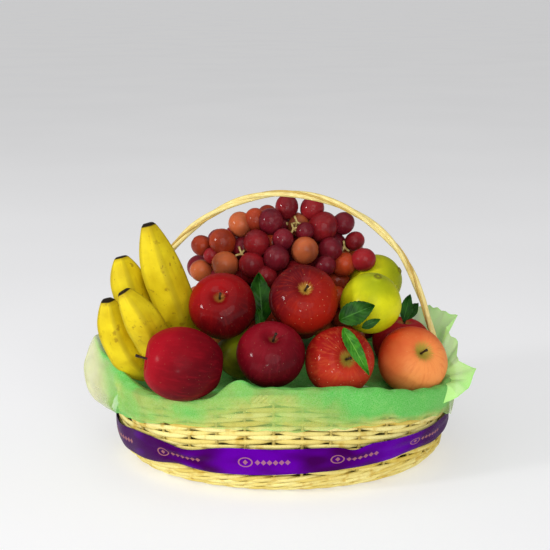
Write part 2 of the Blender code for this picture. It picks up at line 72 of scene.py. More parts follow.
# At the foot, rows of three rods twined round each other, the highest of them a little under where the
# courses begin; at the rim, a border of three rolled rods; and the base's disc of rings over spokes
WALE_FOOT = 0.0044
WALE_TOP = 0.0215
WALE_ROOM = 0.0046
WALE_ROWS = 3
WALE_TURNS = 13
WALE_TWINE = 0.0018
WALE_HALF_HIGH = 0.0024
WALE_HALF_THICK = 0.0019
BORDER_DROP = 0.0042
BORDER_TURNS = 54
BORDER_HALF = 0.0021
BASE_UNDER = 0.0012
BASE_OVER = 0.0042
BASE_RINGS = 22
BASE_SPOKES = 12

# Hoop handle: the arch's middle, half width and rise, the height it springs from and how far it turns
# into the legs; a leg's place, lean and foot, and where it meets the wall; and the canes
HOOP_CENTRE = 0.0025
HOOP_HALF = 0.1422
HOOP_RISE = 0.1468
HOOP_SPRING = 0.118
HOOP_LEAVES = math.radians(23)
LEG_X = 0.1562
LEG_LEAN = 0.0024
LEG_MEETS_WALL = 0.107
LEG_FOOT = 0.038
CANE_TWISTS = 9
CANE_SIDES = 14

# Satin band: its edges' heights at the front, how its lower edge slopes up to the right, how its upper
# edge drops at the left, and the soft folds that narrow it: angle in degrees, amount, width in degrees
RIBBON_LOW = 0.0250
RIBBON_HIGH = 0.0508
RIBBON_SLOPE = 0.0070
RIBBON_LEFT_DROP = 0.0085
RIBBON_LOW_FOLDS = (
    (-126, 0.0048, 8), (-42, 0.0030, 10), (-12, 0.0032, 14), (60, 0.0020, 12), (120, 0.0020, 9),
)
RIBBON_HIGH_FOLDS = (
    (-122, -0.0058, 9), (-144, 0.0022, 8), (-66.5, -0.0045, 4), (-50, -0.0010, 15), (75, -0.0040, 6),
)
RIBBON_OUT = 0.0028

# The band's print, in millimetres: a ring round a lozenge, then a row of lozenges, which repeat
PRINT_SHIFT = 19.0
PRINT_REPEAT = 85.0
PRINT_WIDE = 25
RING_AT = 8.0
RING_RADIUS = 6.2
RING_HALF_LINE = 0.7
RING_SQUASH = 1.5
RING_LOZENGE = 2.4
ROW_FROM = 16.5
ROW_TO = 49.5
ROW_PITCH = 5.5
ROW_LOZENGE = 2.6

# Tulle: the bed, the collar's hem and fold, and the loose flap that stands up at the right. What varies
# round the rim is a sum of hills: angle in degrees, height, and width in degrees
BED_HEIGHT = 0.080
BED_CROWN = 0.012
CROWN_MIDDLE = (0.000, 0.050)
CROWN_HALF = (0.130, 0.072)
HEM = 0.069
HEM_DROPS = ((182, 0.020, 22), (-146, 0.010, 16), (-38, 0.005, 12), (-4, 0.025, 22), (90, 0.006, 40))
COLLAR_OUT = 0.0044
COLLAR_STANDS = 0.0060
FOLD_RISES = (
    (186, 0.034, 22), (90, 0.010, 50), (38, 0.020, 20), (-120, -0.007, 11), (-62, 0.006, 22),
    (-104, 0.010, 5),
)
BILLOW_REACHES = ((188, 0.023, 16),)
# The flap's cut edge: angle, how far it leans out over the wall, and how far it stands above the rim
FRILL_EDGE = (
    (-27, 0.006, -0.012), (-23, 0.017, -0.006), (-18, 0.022, -0.001), (-13, 0.027, 0.016),
    (-9, 0.008, 0.019), (-5, 0.006, 0.024), (0, 0.008, 0.032), (4, 0.003, 0.036), (7, -0.001, 0.045),
    (11, 0.014, 0.052), (17, 0.006, 0.053), (24, 0.002, 0.056), (32, 0.002, 0.050), (40, 0.005, 0.044),
    (50, 0.003, 0.030), (62, 0.002, 0.012),
)

# Fruit is placed as it is seen from the front: across and up in millimetres at the middle of the
# basket, and depth in millimetres behind the middle, from an eye this far away and this much above level
EYE_DISTANCE = 1.2
EYE_DROP = math.radians(22)
ACROSS = np.array((1.0, 0.0, 0.0))
UP = np.array((0.0, math.sin(EYE_DROP), math.cos(EYE_DROP)))
AWAY = np.array((0.0, math.cos(EYE_DROP), -math.sin(EYE_DROP)))

# name: across, up, depth, radius, the stem's direction as across, up, towards the eye, how squat, the
# stem's length above the bottom of its hollow, and the side that is deepest in colour: partly the skin's
# own deeper red, partly painted shade
APPLES = {
    "apple_front_left": ((-103.5, 86.5, -150), 35.0, (-0.97, 0.10, 0.20), 1.14, 0.0205, (0.75, -0.65, 0.05)),
    "apple_upper_left": ((-62.5, 146.0, -115), 33.0, (-0.10, 0.29, 0.95), 0.90, 0.0115, (0.45, -0.90, 0.0)),
    "apple_top": ((22.0, 153.3, -103), 34.6, (0.08, 0.33, 0.94), 0.92, 0.0095, (-0.75, 0.60, 0.0)),
    "apple_front_middle": ((-11.5, 95.5, -132), 33.2, (0.10, 0.60, 0.79), 0.90, 0.0115, (0.30, -0.95, 0.0)),
    "apple_front_right": ((59.8, 88.2, -120), 33.6, (0.28, 0.05, 0.96), 0.90, 0.0095, (-0.20, 0.90, 0.20)),
    "apple_right": ((135.4, 89.2, -76), 35.4, (0.36, 0.30, 0.88), 0.88, 0.0105, (-0.70, 0.60, -0.40)),
    "apple_behind_right": ((125.0, 108.1, -12), 31.0, (0.10, 0.90, 0.40), 0.90, 0.0120, (0.0, -1.0, 0.0)),
}
# Each apple's finish: its name, the main colour, the deep side's (its own deeper red, and painted shade),
# the streaks and their share, the hollow
# and how far down it reaches, the shares of the pores and of the wax, and how dull the wax is
APPLE_SKINS = {
    "apple_front_left": ("apple_dark_crimson", "#980A1A", "#54040E", "#A01222", 0.25,
                         "#8E3A20", 0.042, 0.07, 0.06, 0.20),
    "apple_upper_left": ("apple_deep_crimson", "#90080C", "#4C0408", "#A01A14", 0.14,
                         "#8E5E26", 0.062, 0.10, 0.24, 0.05),
    "apple_top": ("apple_striped_red", "#9C1C0E", "#5A0810", "#A82C14", 0.30,
                  "#B88C3A", 0.072, 0.35, 0.16, 0.08),
    "apple_front_middle": ("apple_purplish_red", "#7A0818", "#500610", "#8A1A28", 0.22,
                           "#7A4424", 0.048, 0.10, 0.16, 0.10),
    "apple_front_right": ("apple_speckled_red", "#BE3822", "#8E120E", "#C45A2E", 0.36,
                          "#9A8430", 0.095, 0.60, 0.14, 0.12),
    "apple_right": ("apple_golden_red", "#F09450", "#CC3C1C", "#D65C30", 0.35,
                    "#A8953A", 0.12, 0.25, 0.14, 0.30),
    "apple_behind_right": ("apple_plain_red", "#B01A22", "#780E12", "#B83A2A", 0.35,
                           "#A8823A", 0.09, 0.20, 0.12, 0.14),
}
# name: across, up, depth, radius, and the crown's direction as across, up, towards the eye
GUAVAS = {
    "guava_right": ((93.4, 150.1, -90), 29.4, (0.17, 0.73, 0.66)),
    "guava_behind": ((98.7, 173.8, -20), 27.0, (0.81, 0.30, 0.50)),
}
# The guava under the others, placed in metres from the basket's middle
GUAVA_BELOW = ((-0.040, -0.035, 0.112), 24.5, (0.2, 0.3, 0.9))

# name: where the axis runs, tip first and stalk last, and the greatest radius
BANANAS = {
    "banana_1": (((-0.1286, -0.035, 0.2420), (-0.1190, -0.036, 0.204), (-0.1055, -0.031, 0.162),
                  (-0.0965, -0.030, 0.130), (-0.0970, -0.038, 0.096)), 0.0198),
    "banana_2": (((-0.1570, -0.024, 0.207), (-0.1520, -0.026, 0.187), (-0.1460, -0.028, 0.165),
                  (-0.1350, -0.028, 0.129), (-0.1200, -0.036, 0.092)), 0.0172),
    "banana_3": (((-0.1480, -0.080, 0.187), (-0.1335, -0.080, 0.163), (-0.1245, -0.067, 0.140),
                  (-0.1160, -0.060, 0.117), (-0.1080, -0.056, 0.093)), 0.0175),
    "banana_4": (((-0.1660, -0.058, 0.173), (-0.1620, -0.056, 0.148), (-0.1530, -0.052, 0.122),
                  (-0.1420, -0.050, 0.104), (-0.1260, -0.048, 0.090)), 0.0165),
}
BANANA_TIP = 0.0058
BANANA_STALK = 0.0046

# Grapes that show from the front: across, up, radius, ripeness
GRAPES_SEEN = (
    (5, 253, 12.2, "crimson"), (-12, 237, 13.1, "plum"), (-28, 239, 11.6, "russet"),
    (-44, 234, 12.6, "amber"), (-63, 215, 13.6, "russet"), (-85, 211, 10.8, "russet"),
    (-74, 200, 8.6, "crimson"), (-60, 191, 13.6, "amber"), (-85, 184, 11.6, "amber"),
    (-27, 214, 13.6, "crimson"), (1, 218, 11.0, "plum"), (-32, 191, 13.1, "crimson"),
    (-6, 198, 13.6, "plum"), (-17, 178, 11.6, "crimson"), (32, 251, 12.6, "crimson"),
    (43, 231, 15.6, "crimson"), (65, 235, 11.6, "plum"), (77, 216, 10.0, "crimson"),
    (24, 206, 14.1, "amber"), (51, 207, 12.6, "plum"), (46, 190, 10.6, "plum"),
    (65, 191, 12.6, "russet"), (86, 196, 12.2, "crimson"), (24, 226, 9.6, "plum"),
)
GRAPE_COLOURS = {"amber": "#BC6036", "russet": "#A23A1A", "crimson": "#8A1A20", "plum": "#6E1622"}
# How often each of the four is drawn for the rest of the grapes
GRAPE_WEIGHTS = (0.16, 0.26, 0.36, 0.22)
# Pale stalks fork in the gaps between the front grapes: across, up
STALK_FORKS = ((16, 236), (71, 215), (-43, 202), (12, 229), (66, 209))
# The heap: its middle, half sizes and foot below the middle, and the rest of the grapes: their radius,
# how many are tried on the heap's skin, and how many stand inside it
HEAP_MIDDLE = np.array((-0.002, 0.056, 0.150))
HEAP_HALF = np.array((0.088, 0.040, 0.084))
GRAPE_RADIUS = 0.0130
GRAPES_BEHIND = 96
GRAPES_INSIDE = 60
GRAPES_FOOT = 0.058
# How far out of the guava's skin the rest of the grapes have their middles, in radii of the grape
GUAVA_CLEARANCE = 0.7
# The grape at the right edge of the heap leans out over the guava: its place in the list, and its depth
LEANING_GRAPE = 22
LEANING_DEPTH = -44

# name: base and tip as across, up, depth, then greatest width and curl
LEAVES = {
    "leaf_big": ((60, 132, -124), (97, 147.5, -124), 0.022, 0.10),
    "leaf_small": ((84, 124, -126), (103, 133, -126), 0.008, 0.05),
    "leaf_long": ((64, 123, -142), (91, 74, -152), 0.013, 0.12),
    "leaf_between": ((-20, 130, -72), (-25, 181, -66), 0.024, 0.08),
    "leaf_low": ((-22, 121, -94), (-25, 144, -88), 0.009, 0.08),
    "leaf_spiky_tall": ((127, 130, -66), (134, 158, -52), 0.012, 0.10),
    "leaf_spiky_side": ((130, 132, -60), (142, 149, -46), 0.010, 0.14),
}

# Lamps: name, where each stands, how wide it is, its power, and the height in the middle that it aims at
LAMPS = (
    ("window_left", (-1.75, -0.85, 0.75), 0.34, 17.0, 0.10),
    ("lamp_low", (-0.12, -1.10, 0.035), 0.10, 1.5, 0.15),
    ("softbox_above", (-0.55, -0.75, 2.0), 3.40, 20.0, 0.10),
    ("softbox_front", (0.35, -2.30, 0.95), 1.90, 24.0, 0.10),
    ("fill_right", (1.6, -1.3, 0.9), 3.60, 6.0, 0.10),
)
# Camera: where it stands, how far it looks down and to the left, and its lens
CAMERA_AT = (-0.0013, -1.1338, 0.4592)
CAMERA_DROP = math.radians(13.70)
CAMERA_LEFT = math.radians(0.29)
CAMERA_LENS = 76.66


# Mesh tools

def put(name, points, faces, material, **values):
    """A piece from points (n, 3), rows of faces, and values per point that its material reads."""
    mesh = bpy.data.meshes.new(name)
    rows = [row for block in faces for row in np.asarray(block).tolist()]
    mesh.from_pydata(np.asarray(points, float).tolist(), [], rows)
    mesh.materials.append(material)
    for value_name, value in values.items():
        value = np.asarray(value, np.float32)
        kind = "FLOAT" if value.ndim == 1 else "FLOAT_VECTOR"
        layer = mesh.attributes.new(value_name, kind, "POINT")
        layer.data.foreach_set("value" if value.ndim == 1 else "vector", value.ravel())
    mesh.shade_smooth()
    mesh.update()
    made = bpy.data.objects.new(name, mesh)
    bpy.context.scene.collection.objects.link(made)
    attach(made, "root")
    return made


def grid_faces(rows, columns, start=0, wrap_rows=False, wrap_columns=True):
    """Quads of a grid of points, row by row, which may close on itself either way."""
    row = np.arange(rows if wrap_rows else rows - 1)[:, None]
    column = np.arange(columns if wrap_columns else columns - 1)[None, :]
    below, beside = (row + 1) % rows, (column + 1) % columns
    here, under = row * columns, below * columns
    corners = (here + column, here + beside, under + beside, under + column)
    return start + np.stack(corners, -1).reshape(-1, 4)


def capped_faces(rows, columns, start=0):
    """Faces of a closed tube whose rings are followed by its first and its last end point."""
    here = np.arange(columns)
    after = (here + 1) % columns
    first, last = rows * columns, rows * columns + 1
    top = np.stack((np.full(columns, first), after, here), -1)
    under = (rows - 1) * columns
    bottom = np.stack((np.full(columns, last), under + here, under + after), -1)
    return [grid_faces(rows, columns, start), start + top, start + bottom]


def smooth_rows(control, count):
    """Rows spread along a Catmull-Rom curve through rows of control values."""
    control = np.asarray(control, float)
    ends = np.concatenate([2 * control[:1] - control[1:2], control, 2 * control[-1:] - control[-2:-1]])
    t = np.linspace(0, len(control) - 1, count)
    i = np.minimum(t.astype(int), len(control) - 2)
    f = (t - i).reshape((-1,) + (1,) * (control.ndim - 1))
    a, b, c, d = ends[i], ends[i + 1], ends[i + 2], ends[i + 3]
    return 0.5 * (2 * b + (c - a) * f + (2 * a - 5 * b + 4 * c - d) * f**2 + (3 * b - a - 3 * c + d) * f**3)


def unit(vectors):
    """Vectors scaled to length 1."""
    return vectors / np.linalg.norm(vectors, axis=-1, keepdims=True)


def round_steps(count):
    """Even angles once round, without the last one, which would be the first again."""
    return np.linspace(0, 2 * PI, count, endpoint=False)


def hump(away, width):
    """A smooth hump, exp(-(away / width) squared): 1 in the middle and about a third a width away."""
    return np.exp(-((away / width) ** 2))


def stacked(*parts):
    """Arrays that broadcast together, as the last axis of one array."""
    return np.stack(np.broadcast_arrays(*parts), -1)


def square_to(path, across):
    """Two directions square to a path at each of its places, the first of them square to across too."""
    along = unit(np.gradient(path, axis=0))
    side = unit(np.cross(along, across))
    return side, np.cross(along, side)


def tube(path, radius, sides, across, ridge=1.0):
    """Rings of a rod of the given radius along a path, and its two end points.

    Each ring lies square to the path, its first direction square to the across vector too. The ridge
    scales the radius of each side, or of all alike.
    """
    path = np.asarray(path, float)
    side, over = square_to(path, across)
    angle = round_steps(sides)
    radius = np.broadcast_to(radius, len(path))[:, None]
    wide = radius * (ridge * np.cos(angle))
    high = radius * (ridge * np.sin(angle))
    rings = path[:, None] + wide[..., None] * side[:, None] + high[..., None] * over[:, None]
    return np.concatenate([rings.reshape(-1, 3), path[:1], path[-1:]])


def waves(p, count, shortest, seed):
    """A smooth random field of points p (..., d): a sum of sine waves in random directions, about -1 to 1."""
    draw = np.random.default_rng(seed)
    way = unit(draw.normal(size=(count, np.shape(p)[-1])))
    length = shortest * draw.uniform(1.0, 2.6, count)
    shift = draw.uniform(0, 2 * PI, count)
    strength = length / length.sum()
    total = np.zeros(np.shape(p)[:-1])
    for k in range(count):
        total += strength[k] * np.sin(2 * PI * (np.asarray(p) @ way[k]) / length[k] + shift[k])
    return 1.8 * total


def creases(p, count, shortest, seed):
    """A crumpled field: like waves, but each sine is folded to a sharp crease, from 0 to about 1."""
    draw = np.random.default_rng(seed)
    way = unit(draw.normal(size=(count, np.shape(p)[-1])))
    length = shortest * draw.uniform(1.0, 2.4, count)
    shift = draw.uniform(0, 2 * PI, count)
    total = np.zeros(np.shape(p)[:-1])
    for k in range(count):
        total += 1 - np.abs(np.sin(PI * (np.asarray(p) @ way[k]) / length[k] + shift[k])) ** 0.7
    return total / count


# Places

def seen(across, up, depth):
    """The place that shows at across, up from the eye, at this depth; all in millimetres."""
    nearness = 1 + depth / 1000 / EYE_DISTANCE
    return (across * ACROSS + up * UP) * nearness / 1000 + AWAY * depth / 1000


def pointing(direction):
    """A world direction from one given as across, up, towards the eye."""
    across, up, towards = direction
    return unit(ACROSS * across + UP * up - AWAY * towards)


def stood(points, middle, direction):
    """Points moved to the middle and turned so that their +Z runs along the direction."""
    turn = Vector((0, 0, 1)).rotation_difference(Vector(direction)).to_matrix()
    return np.asarray(points) @ np.array(turn).T + np.asarray(middle)


def inset_at(height):
    """How far the bowl's wall draws in: it leans in evenly from the rim, and rounds in at its foot."""
    height = np.asarray(height, float)
    low = np.clip(1 - height / FOOT_ROUND, 0, 1)
    return FOOT_INSET * low**3.7 + FLARE * np.clip(1 - height / RIM_HEIGHT, 0, 1)


def rim_at(angle):
    """The rim's height, which sags towards the two ends."""
    return RIM_HEIGHT - END_SAG * 0.5 * (1 - np.cos(PI * np.cos(angle)))


def on_wall(angle, height, out):
    """Places on the bowl's outer wall, moved outwards by out."""
    draw = inset_at(height) - out
    return stacked((HALF_LENGTH - draw) * np.cos(angle), (HALF_DEPTH - draw) * np.sin(angle), height)


def round_oval(angle):
    """Places round the bowl's oval, in millimetres, over which the fields of folds are drawn."""
    return 1000 * stacked(HALF_LENGTH * np.cos(angle), HALF_DEPTH * np.sin(angle))


def stake_angle(turn):
    """The angle on the oval for an even turn round the stakes."""
    return turn + STAKE_CROWDING * np.sin(2 * turn)


def hills(angle, places):
    """The sum of smooth hills that wrap round the basket, each given as angle, height and width."""
    total = np.zeros_like(angle)
    for middle, height, width in places:
        away = (np.degrees(angle) - middle + 180) % 360 - 180
        total += height * hump(away, width)
    return total


def bed_at(x, y):
    """The tulle's top surface: low where the front row sits, and raised under the heap of grapes."""
    away = ((x - CROWN_MIDDLE[0]) / CROWN_HALF[0]) ** 4 + ((y - CROWN_MIDDLE[1]) / CROWN_HALF[1]) ** 4
    return BED_HEIGHT + BED_CROWN * np.exp(-away)


# Material tools

def linear(hex_colour):
    """An sRGB hex colour as the linear numbers that a shader takes."""
    parts = [int(hex_colour[i : i + 2], 16) / 255 for i in (1, 3, 5)]
    return tuple(c / 12.92 if c <= 0.04045 else ((c + 0.055) / 1.055) ** 2.4 for c in parts) + (1.0,)


def add(tree, kind, inputs=None, out=0, stops=(), **settings):
    """Add a shader node of this kind with its settings, feed its inputs, and give its output.

    An input takes a number, a hex colour, or another node's output, which is linked to it.
    """
    node = tree.nodes.new("ShaderNode" + kind)
    for name, value in settings.items():
        setattr(node, name, value)
    for name, value in (inputs or {}).items():
        if isinstance(value, bpy.types.NodeSocket):
            tree.links.new(value, node.inputs[name])
        else:
            node.inputs[name].default_value = linear(value) if isinstance(value, str) else value
    for place, (position, colour) in enumerate(stops):
        stop = node.color_ramp.elements[place] if place < 2 else node.color_ramp.elements.new(position)
        stop.position = position
        stop.color = linear(colour)
    return node.outputs[out]


def finish(name, **sockets):
    """A new material with numbers set on its shader. Gives the material, its tree and its shader."""
    made = bpy.data.materials.new(name)
    made.use_nodes = True
    shader = made.node_tree.nodes["Principled BSDF"]
    for socket, value in sockets.items():
        shader.inputs[socket.replace("_", " ")].default_value = value
    return made, made.node_tree, shader


# Settings of a Mix node for colours, whose inputs 6 and 7 are the colours, and of a soft-ended Map Range
COLOURS = {"data_type": "RGBA", "out": 2}
SOFT = {"interpolation_type": "SMOOTHSTEP"}


def layered(tree, colour, *layers):
    """Lay tints over a colour, each one softly by its mask.

    A layer is its mask, the two values of the mask between which it changes, its share at each of
    them, and its tint.
    """
    for mask, low, high, share_low, share_high, tint in layers:
        share = add(tree, "MapRange", {0: mask, 1: low, 2: high, 3: share_low, 4: share_high}, **SOFT)
        colour = add(tree, "Mix", {0: share, 6: colour, 7: tint}, **COLOURS)
    return colour


def completed(material, tree, shader, colour, height, depth, strength):
    """The material, once its colour, and its height as bumps of this depth, are linked to its shader."""
    tree.links.new(colour, shader.inputs["Base Color"])
    bump = add(tree, "Bump", {"Height": height, "Distance": depth, "Strength": strength})
    tree.links.new(bump, shader.inputs["Normal"])
    return material


# Materials

def willow_finish():
    """Bleached willow rods, woven damp: pale lemon straw, with painted shade, dark brown, where they dive in
    behind a stake.
    """
    made, tree, shader = finish("bleached_willow", Roughness=0.55, Specular_IOR_Level=0.30)
    proud = add(tree, "Attribute", out="Fac", attribute_name="proud")
    rod = add(tree, "Attribute", out="Fac", attribute_name="rod")
    place = add(tree, "TexCoord", out="Object")
    # Patches about 12 mm long where the rod is browner, and grain lines about 1 mm apart
    patch = add(tree, "TexNoise", {"Vector": place, "Scale": 80.0, "Detail": 3.0})
    grain = add(tree, "TexNoise", {"Vector": place, "Scale": 900.0, "Detail": 4.0})
    # Each rod has its own tone
    colour = add(tree, "ValToRGB", {0: rod}, stops=((0.0, "#D2B648"), (0.5, "#E2D078"), (1.0, "#EEE294")))
    # Browner patches, grain lines, and painted shade, dark brown, where a rod lies deep in the weave
    colour = layered(
        tree, colour,
        (patch, 0.52, 0.70, 0.0, 0.8, "#C9A63C"),
        (grain, 0.50, 0.78, 0.0, 0.40, "#A8842C"),
        (proud, 0.05, 0.50, 0.9, 0.0, "#3A2406"))
    return completed(made, tree, shader, colour, grain, 0.0004, 0.5)


def cane_finish(name, light, dark):
    """Peeled cane, steamed and twisted: satin straw with long fibres and darker joints."""
    made, tree, shader = finish(name, Roughness=0.45, Specular_IOR_Level=0.35)
    along = add(tree, "Attribute", out="Vector", attribute_name="fibre")
    place = add(tree, "TexCoord", out="Object")
    # Fibres about 0.4 mm wide and 7 mm long, and joints and stains about 20 mm apart
    fibre = add(tree, "TexNoise", {"Vector": along, "Scale": 6.0, "Detail": 4.0})
    patch = add(tree, "TexNoise", {"Vector": place, "Scale": 45.0, "Detail": 2.0})
    colour = add(tree, "ValToRGB", {0: fibre}, stops=((0.38, light), (0.68, dark)))
    colour = layered(tree, colour, (patch, 0.55, 0.75, 0.0, 0.4, "#A8843A"))
    return completed(made, tree, shader, colour, fibre, 0.0004, 0.6)


def tulle_finish(name, thin, thick, clearness):
    """Stiff nylon tulle: a fine green net that hazes what lies behind it, denser where it doubles."""
    made, tree, shader = finish(name, Roughness=0.60, Specular_IOR_Level=0.20)
    layers = add(tree, "Attribute", out="Fac", attribute_name="layers")
    cream = add(tree, "Attribute", out="Fac", attribute_name="cream")
    place = add(tree, "TexCoord", out="Object")
    # Clouds about 30 mm wide where a second layer lies behind
    cloud = add(tree, "TexNoise", {"Vector": place, "Scale": 30.0, "Detail": 3.0})
    extra = add(tree, "MapRange", {0: cloud, 1: 0.35, 2: 0.65, 3: -0.16, 4: 0.16}, **SOFT)
    cover = add(tree, "Math", {0: layers, 1: extra}, operation="ADD")
    colour = layered(tree, thin, (cover, 0.15, 0.90, 0.0, 1.0, thick))
    colour = add(tree, "Mix", {0: cream, 6: colour, 7: "#EDE6A4"}, **COLOURS)
    # Crinkles 15 mm apart: their bumps catch the light, and their crests are painted lighter as painted
    # highlight
    crinkle = add(tree, "TexNoise", {"Vector": place, "Scale": 65.0, "Detail": 5.0})
    # Real holes are about 1 mm: drawn as a 1.6 mm grain, so that they show at all
    net = add(tree, "TexVoronoi", {"Vector": place, "Scale": 620.0}, feature="DISTANCE_TO_EDGE")
    colour = layered(
        tree, colour,
        (crinkle, 0.50, 0.80, 0.0, 0.15, "#C6E88A"),
        (net, 0.0, 0.25, 0.12, 0.0, "#F0FFD8"))
    cloth = add(tree, "MapRange", {0: cover, 1: 0.0, 2: 1.0, 3: clearness, 4: 0.96}, **SOFT)
    tree.links.new(cloth, shader.inputs["Alpha"])
    return completed(made, tree, shader, colour, crinkle, 0.0014, 0.5)


def lozenge(tree, along, across, half):
    """1 where the distance along and the distance across add up to less than the lozenge's half width."""
    place = add(tree, "CombineXYZ", {0: along, 1: across})
    place = add(tree, "VectorMath", {0: place}, operation="ABSOLUTE")
    spread = add(tree, "VectorMath", {0: place, 1: (1, 1, 0)}, out="Value", operation="DOT_PRODUCT")
    return add(tree, "Math", {0: spread, 1: half}, operation="LESS_THAN")


def satin_finish():
    """Polyester satin ribbon: long filaments, deep violet, with painted sheen brightening panels of the band.

    A plain garland is printed on it in dull gold: an oval ring round a lozenge, then a row of lozenges.
    """
    made, tree, shader = finish("violet_satin", Roughness=0.42, Specular_IOR_Level=0.14, Anisotropic=0.5,
                                Specular_Tint=linear("#5A00B4"))
    band = add(tree, "Attribute", out="Vector", attribute_name="band")
    along, across, painted_sheen = add(tree, "SeparateXYZ", {0: band}, out=slice(3))
    # The colour brightens from deep violet by the painted sheen
    colour = add(tree, "ValToRGB", {0: painted_sheen}, stops=((0.10, "#3A0044"), (0.95, "#5C0098")))
    # Filaments that run along the band, about 0.26 mm apart
    thread = add(tree, "TexWave", {"Vector": band, "Scale": 1.2, "Distortion": 1.0}, bands_direction="Y")
    colour = layered(tree, colour, (thread, 0.0, 1.0, 0.0, 0.2, "#48006E"))

    # The ring, which is squashed to an oval, and the lozenge in it
    repeat = add(tree, "Math", {0: along, 1: PRINT_REPEAT}, operation="MODULO")
    from_ring = add(tree, "Math", {0: repeat, 1: RING_AT}, operation="SUBTRACT")
    squashed = add(tree, "Math", {0: across, 1: RING_SQUASH}, operation="MULTIPLY")
    place = add(tree, "CombineXYZ", {0: from_ring, 1: squashed})
    far = add(tree, "VectorMath", {0: place}, out="Value", operation="LENGTH")
    ring = add(tree, "Math", {0: far, 1: RING_RADIUS, 2: RING_HALF_LINE}, operation="COMPARE")
    middle = lozenge(tree, from_ring, across, RING_LOZENGE)
    # The row of lozenges
    step = add(tree, "Math", {0: repeat, 1: ROW_PITCH}, operation="MODULO")
    step = add(tree, "Math", {0: step, 1: ROW_PITCH / 2}, operation="SUBTRACT")
    row = lozenge(tree, step, across, ROW_LOZENGE)
    begun = add(tree, "Math", {0: repeat, 1: ROW_FROM}, operation="GREATER_THAN")
    left = add(tree, "Math", {0: repeat, 1: ROW_TO}, operation="LESS_THAN")
    row = add(tree, "Math", {0: row, 1: begun}, operation="MULTIPLY")
    row = add(tree, "Math", {0: row, 1: left}, operation="MULTIPLY")
    gold = add(tree, "Math", {0: ring, 1: middle}, operation="MAXIMUM")
    gold = add(tree, "Math", {0: gold, 1: row}, operation="MAXIMUM")
    share = add(tree, "Math", {0: gold, 1: 0.6}, operation="MULTIPLY")
    colour = add(tree, "Mix", {0: share, 6: colour, 7: "#B87A70"}, **COLOURS)
    return completed(made, tree, shader, colour, thread, 0.0001, 0.25)


def apple_finish(name, main, deep, streak, streaks, hollow, hollow_wide, speckle, wax, dullness):
    """Apple skin under its own wax: streaks run from stem to eye, and the stem's hollow is russeted."""
    made, tree, shader = finish(name, Roughness=0.60, Specular_IOR_Level=0.04, Coat_Weight=wax,
                                Coat_Roughness=dullness, Coat_IOR=1.40)
    local = add(tree, "Attribute", out="Vector", attribute_name="local")
    polar = add(tree, "Attribute", out="Vector", attribute_name="polar")
    from_stem = add(tree, "SeparateXYZ", {0: polar}, out=2)
    # One side is deeper, partly its own deeper red and partly painted shade, with an uneven border
    blush = add(tree, "Attribute", out="Fac", attribute_name="blush")
    broad = add(tree, "TexNoise", {"Vector": local, "Scale": 1.3, "Detail": 3.0})
    blush = add(tree, "Math", {0: broad, 1: 0.5, 2: blush}, operation="MULTIPLY_ADD")
    colour = add(tree, "ValToRGB", {0: blush}, stops=((0.45, main), (1.05, deep)))
    # Streaks about 4 mm wide and 13 mm long, with finer ones in them, which also fray the hollow's edge
    fine = add(tree, "TexNoise", {"Vector": polar, "Scale": 8.0, "Detail": 5.0, "Roughness": 0.6})
    ragged = add(tree, "MapRange", {0: fine, 1: 0.3, 2: 0.7, 3: -0.06 * streaks, 4: 0.06 * streaks}, **SOFT)
    reach = add(tree, "Math", {0: from_stem, 1: ragged}, operation="ADD")
    # Pale pores about 0.7 mm wide and 4 mm apart
    pore = add(tree, "TexVoronoi", {"Vector": local, "Scale": 9.0})
    colour = layered(
        tree, colour,
        (fine, 0.46, 0.70, 0.0, streaks, streak),
        (reach, 0.3 * hollow_wide, hollow_wide, 1.0, 0.0, hollow),
        (from_stem, 0.0, 0.03, 0.7, 0.0, "#4E3414"),
        (pore, 0.06, 0.12, speckle, 0.0, "#F2D9A0"))
    return completed(made, tree, shader, colour, broad, 0.0006, 0.25)


def guava_finish(name, deep, pale):
    """Guava skin, thin and waxy: mottled from deep to pale, with olive pores, and greener at its crown."""
    made, tree, shader = finish(name, Roughness=0.55, Specular_IOR_Level=0.08, Coat_Weight=0.12,
                                Coat_Roughness=0.20, Coat_IOR=1.40)
    local = add(tree, "Attribute", out="Vector", attribute_name="local")
    height = add(tree, "SeparateXYZ", {0: local}, out=2)
    broad = add(tree, "TexNoise", {"Vector": local, "Scale": 1.6, "Detail": 3.0})
    colour = add(tree, "ValToRGB", {0: broad}, stops=((0.38, deep), (0.62, pale)))
    # Pores about 0.5 mm wide and 2.5 mm apart
    pore = add(tree, "TexVoronoi", {"Vector": local, "Scale": 12.0})
    colour = layered(
        tree, colour,
        (height, 0.55, 1.05, 0.0, 0.7, "#8E9C10"),
        (pore, 0.06, 0.16, 0.45, 0.0, "#7E8410"),
        (height, 1.03, 1.12, 0.0, 1.0, "#5A4A18"))
    return completed(made, tree, shader, colour, broad, 0.0016, 0.5)


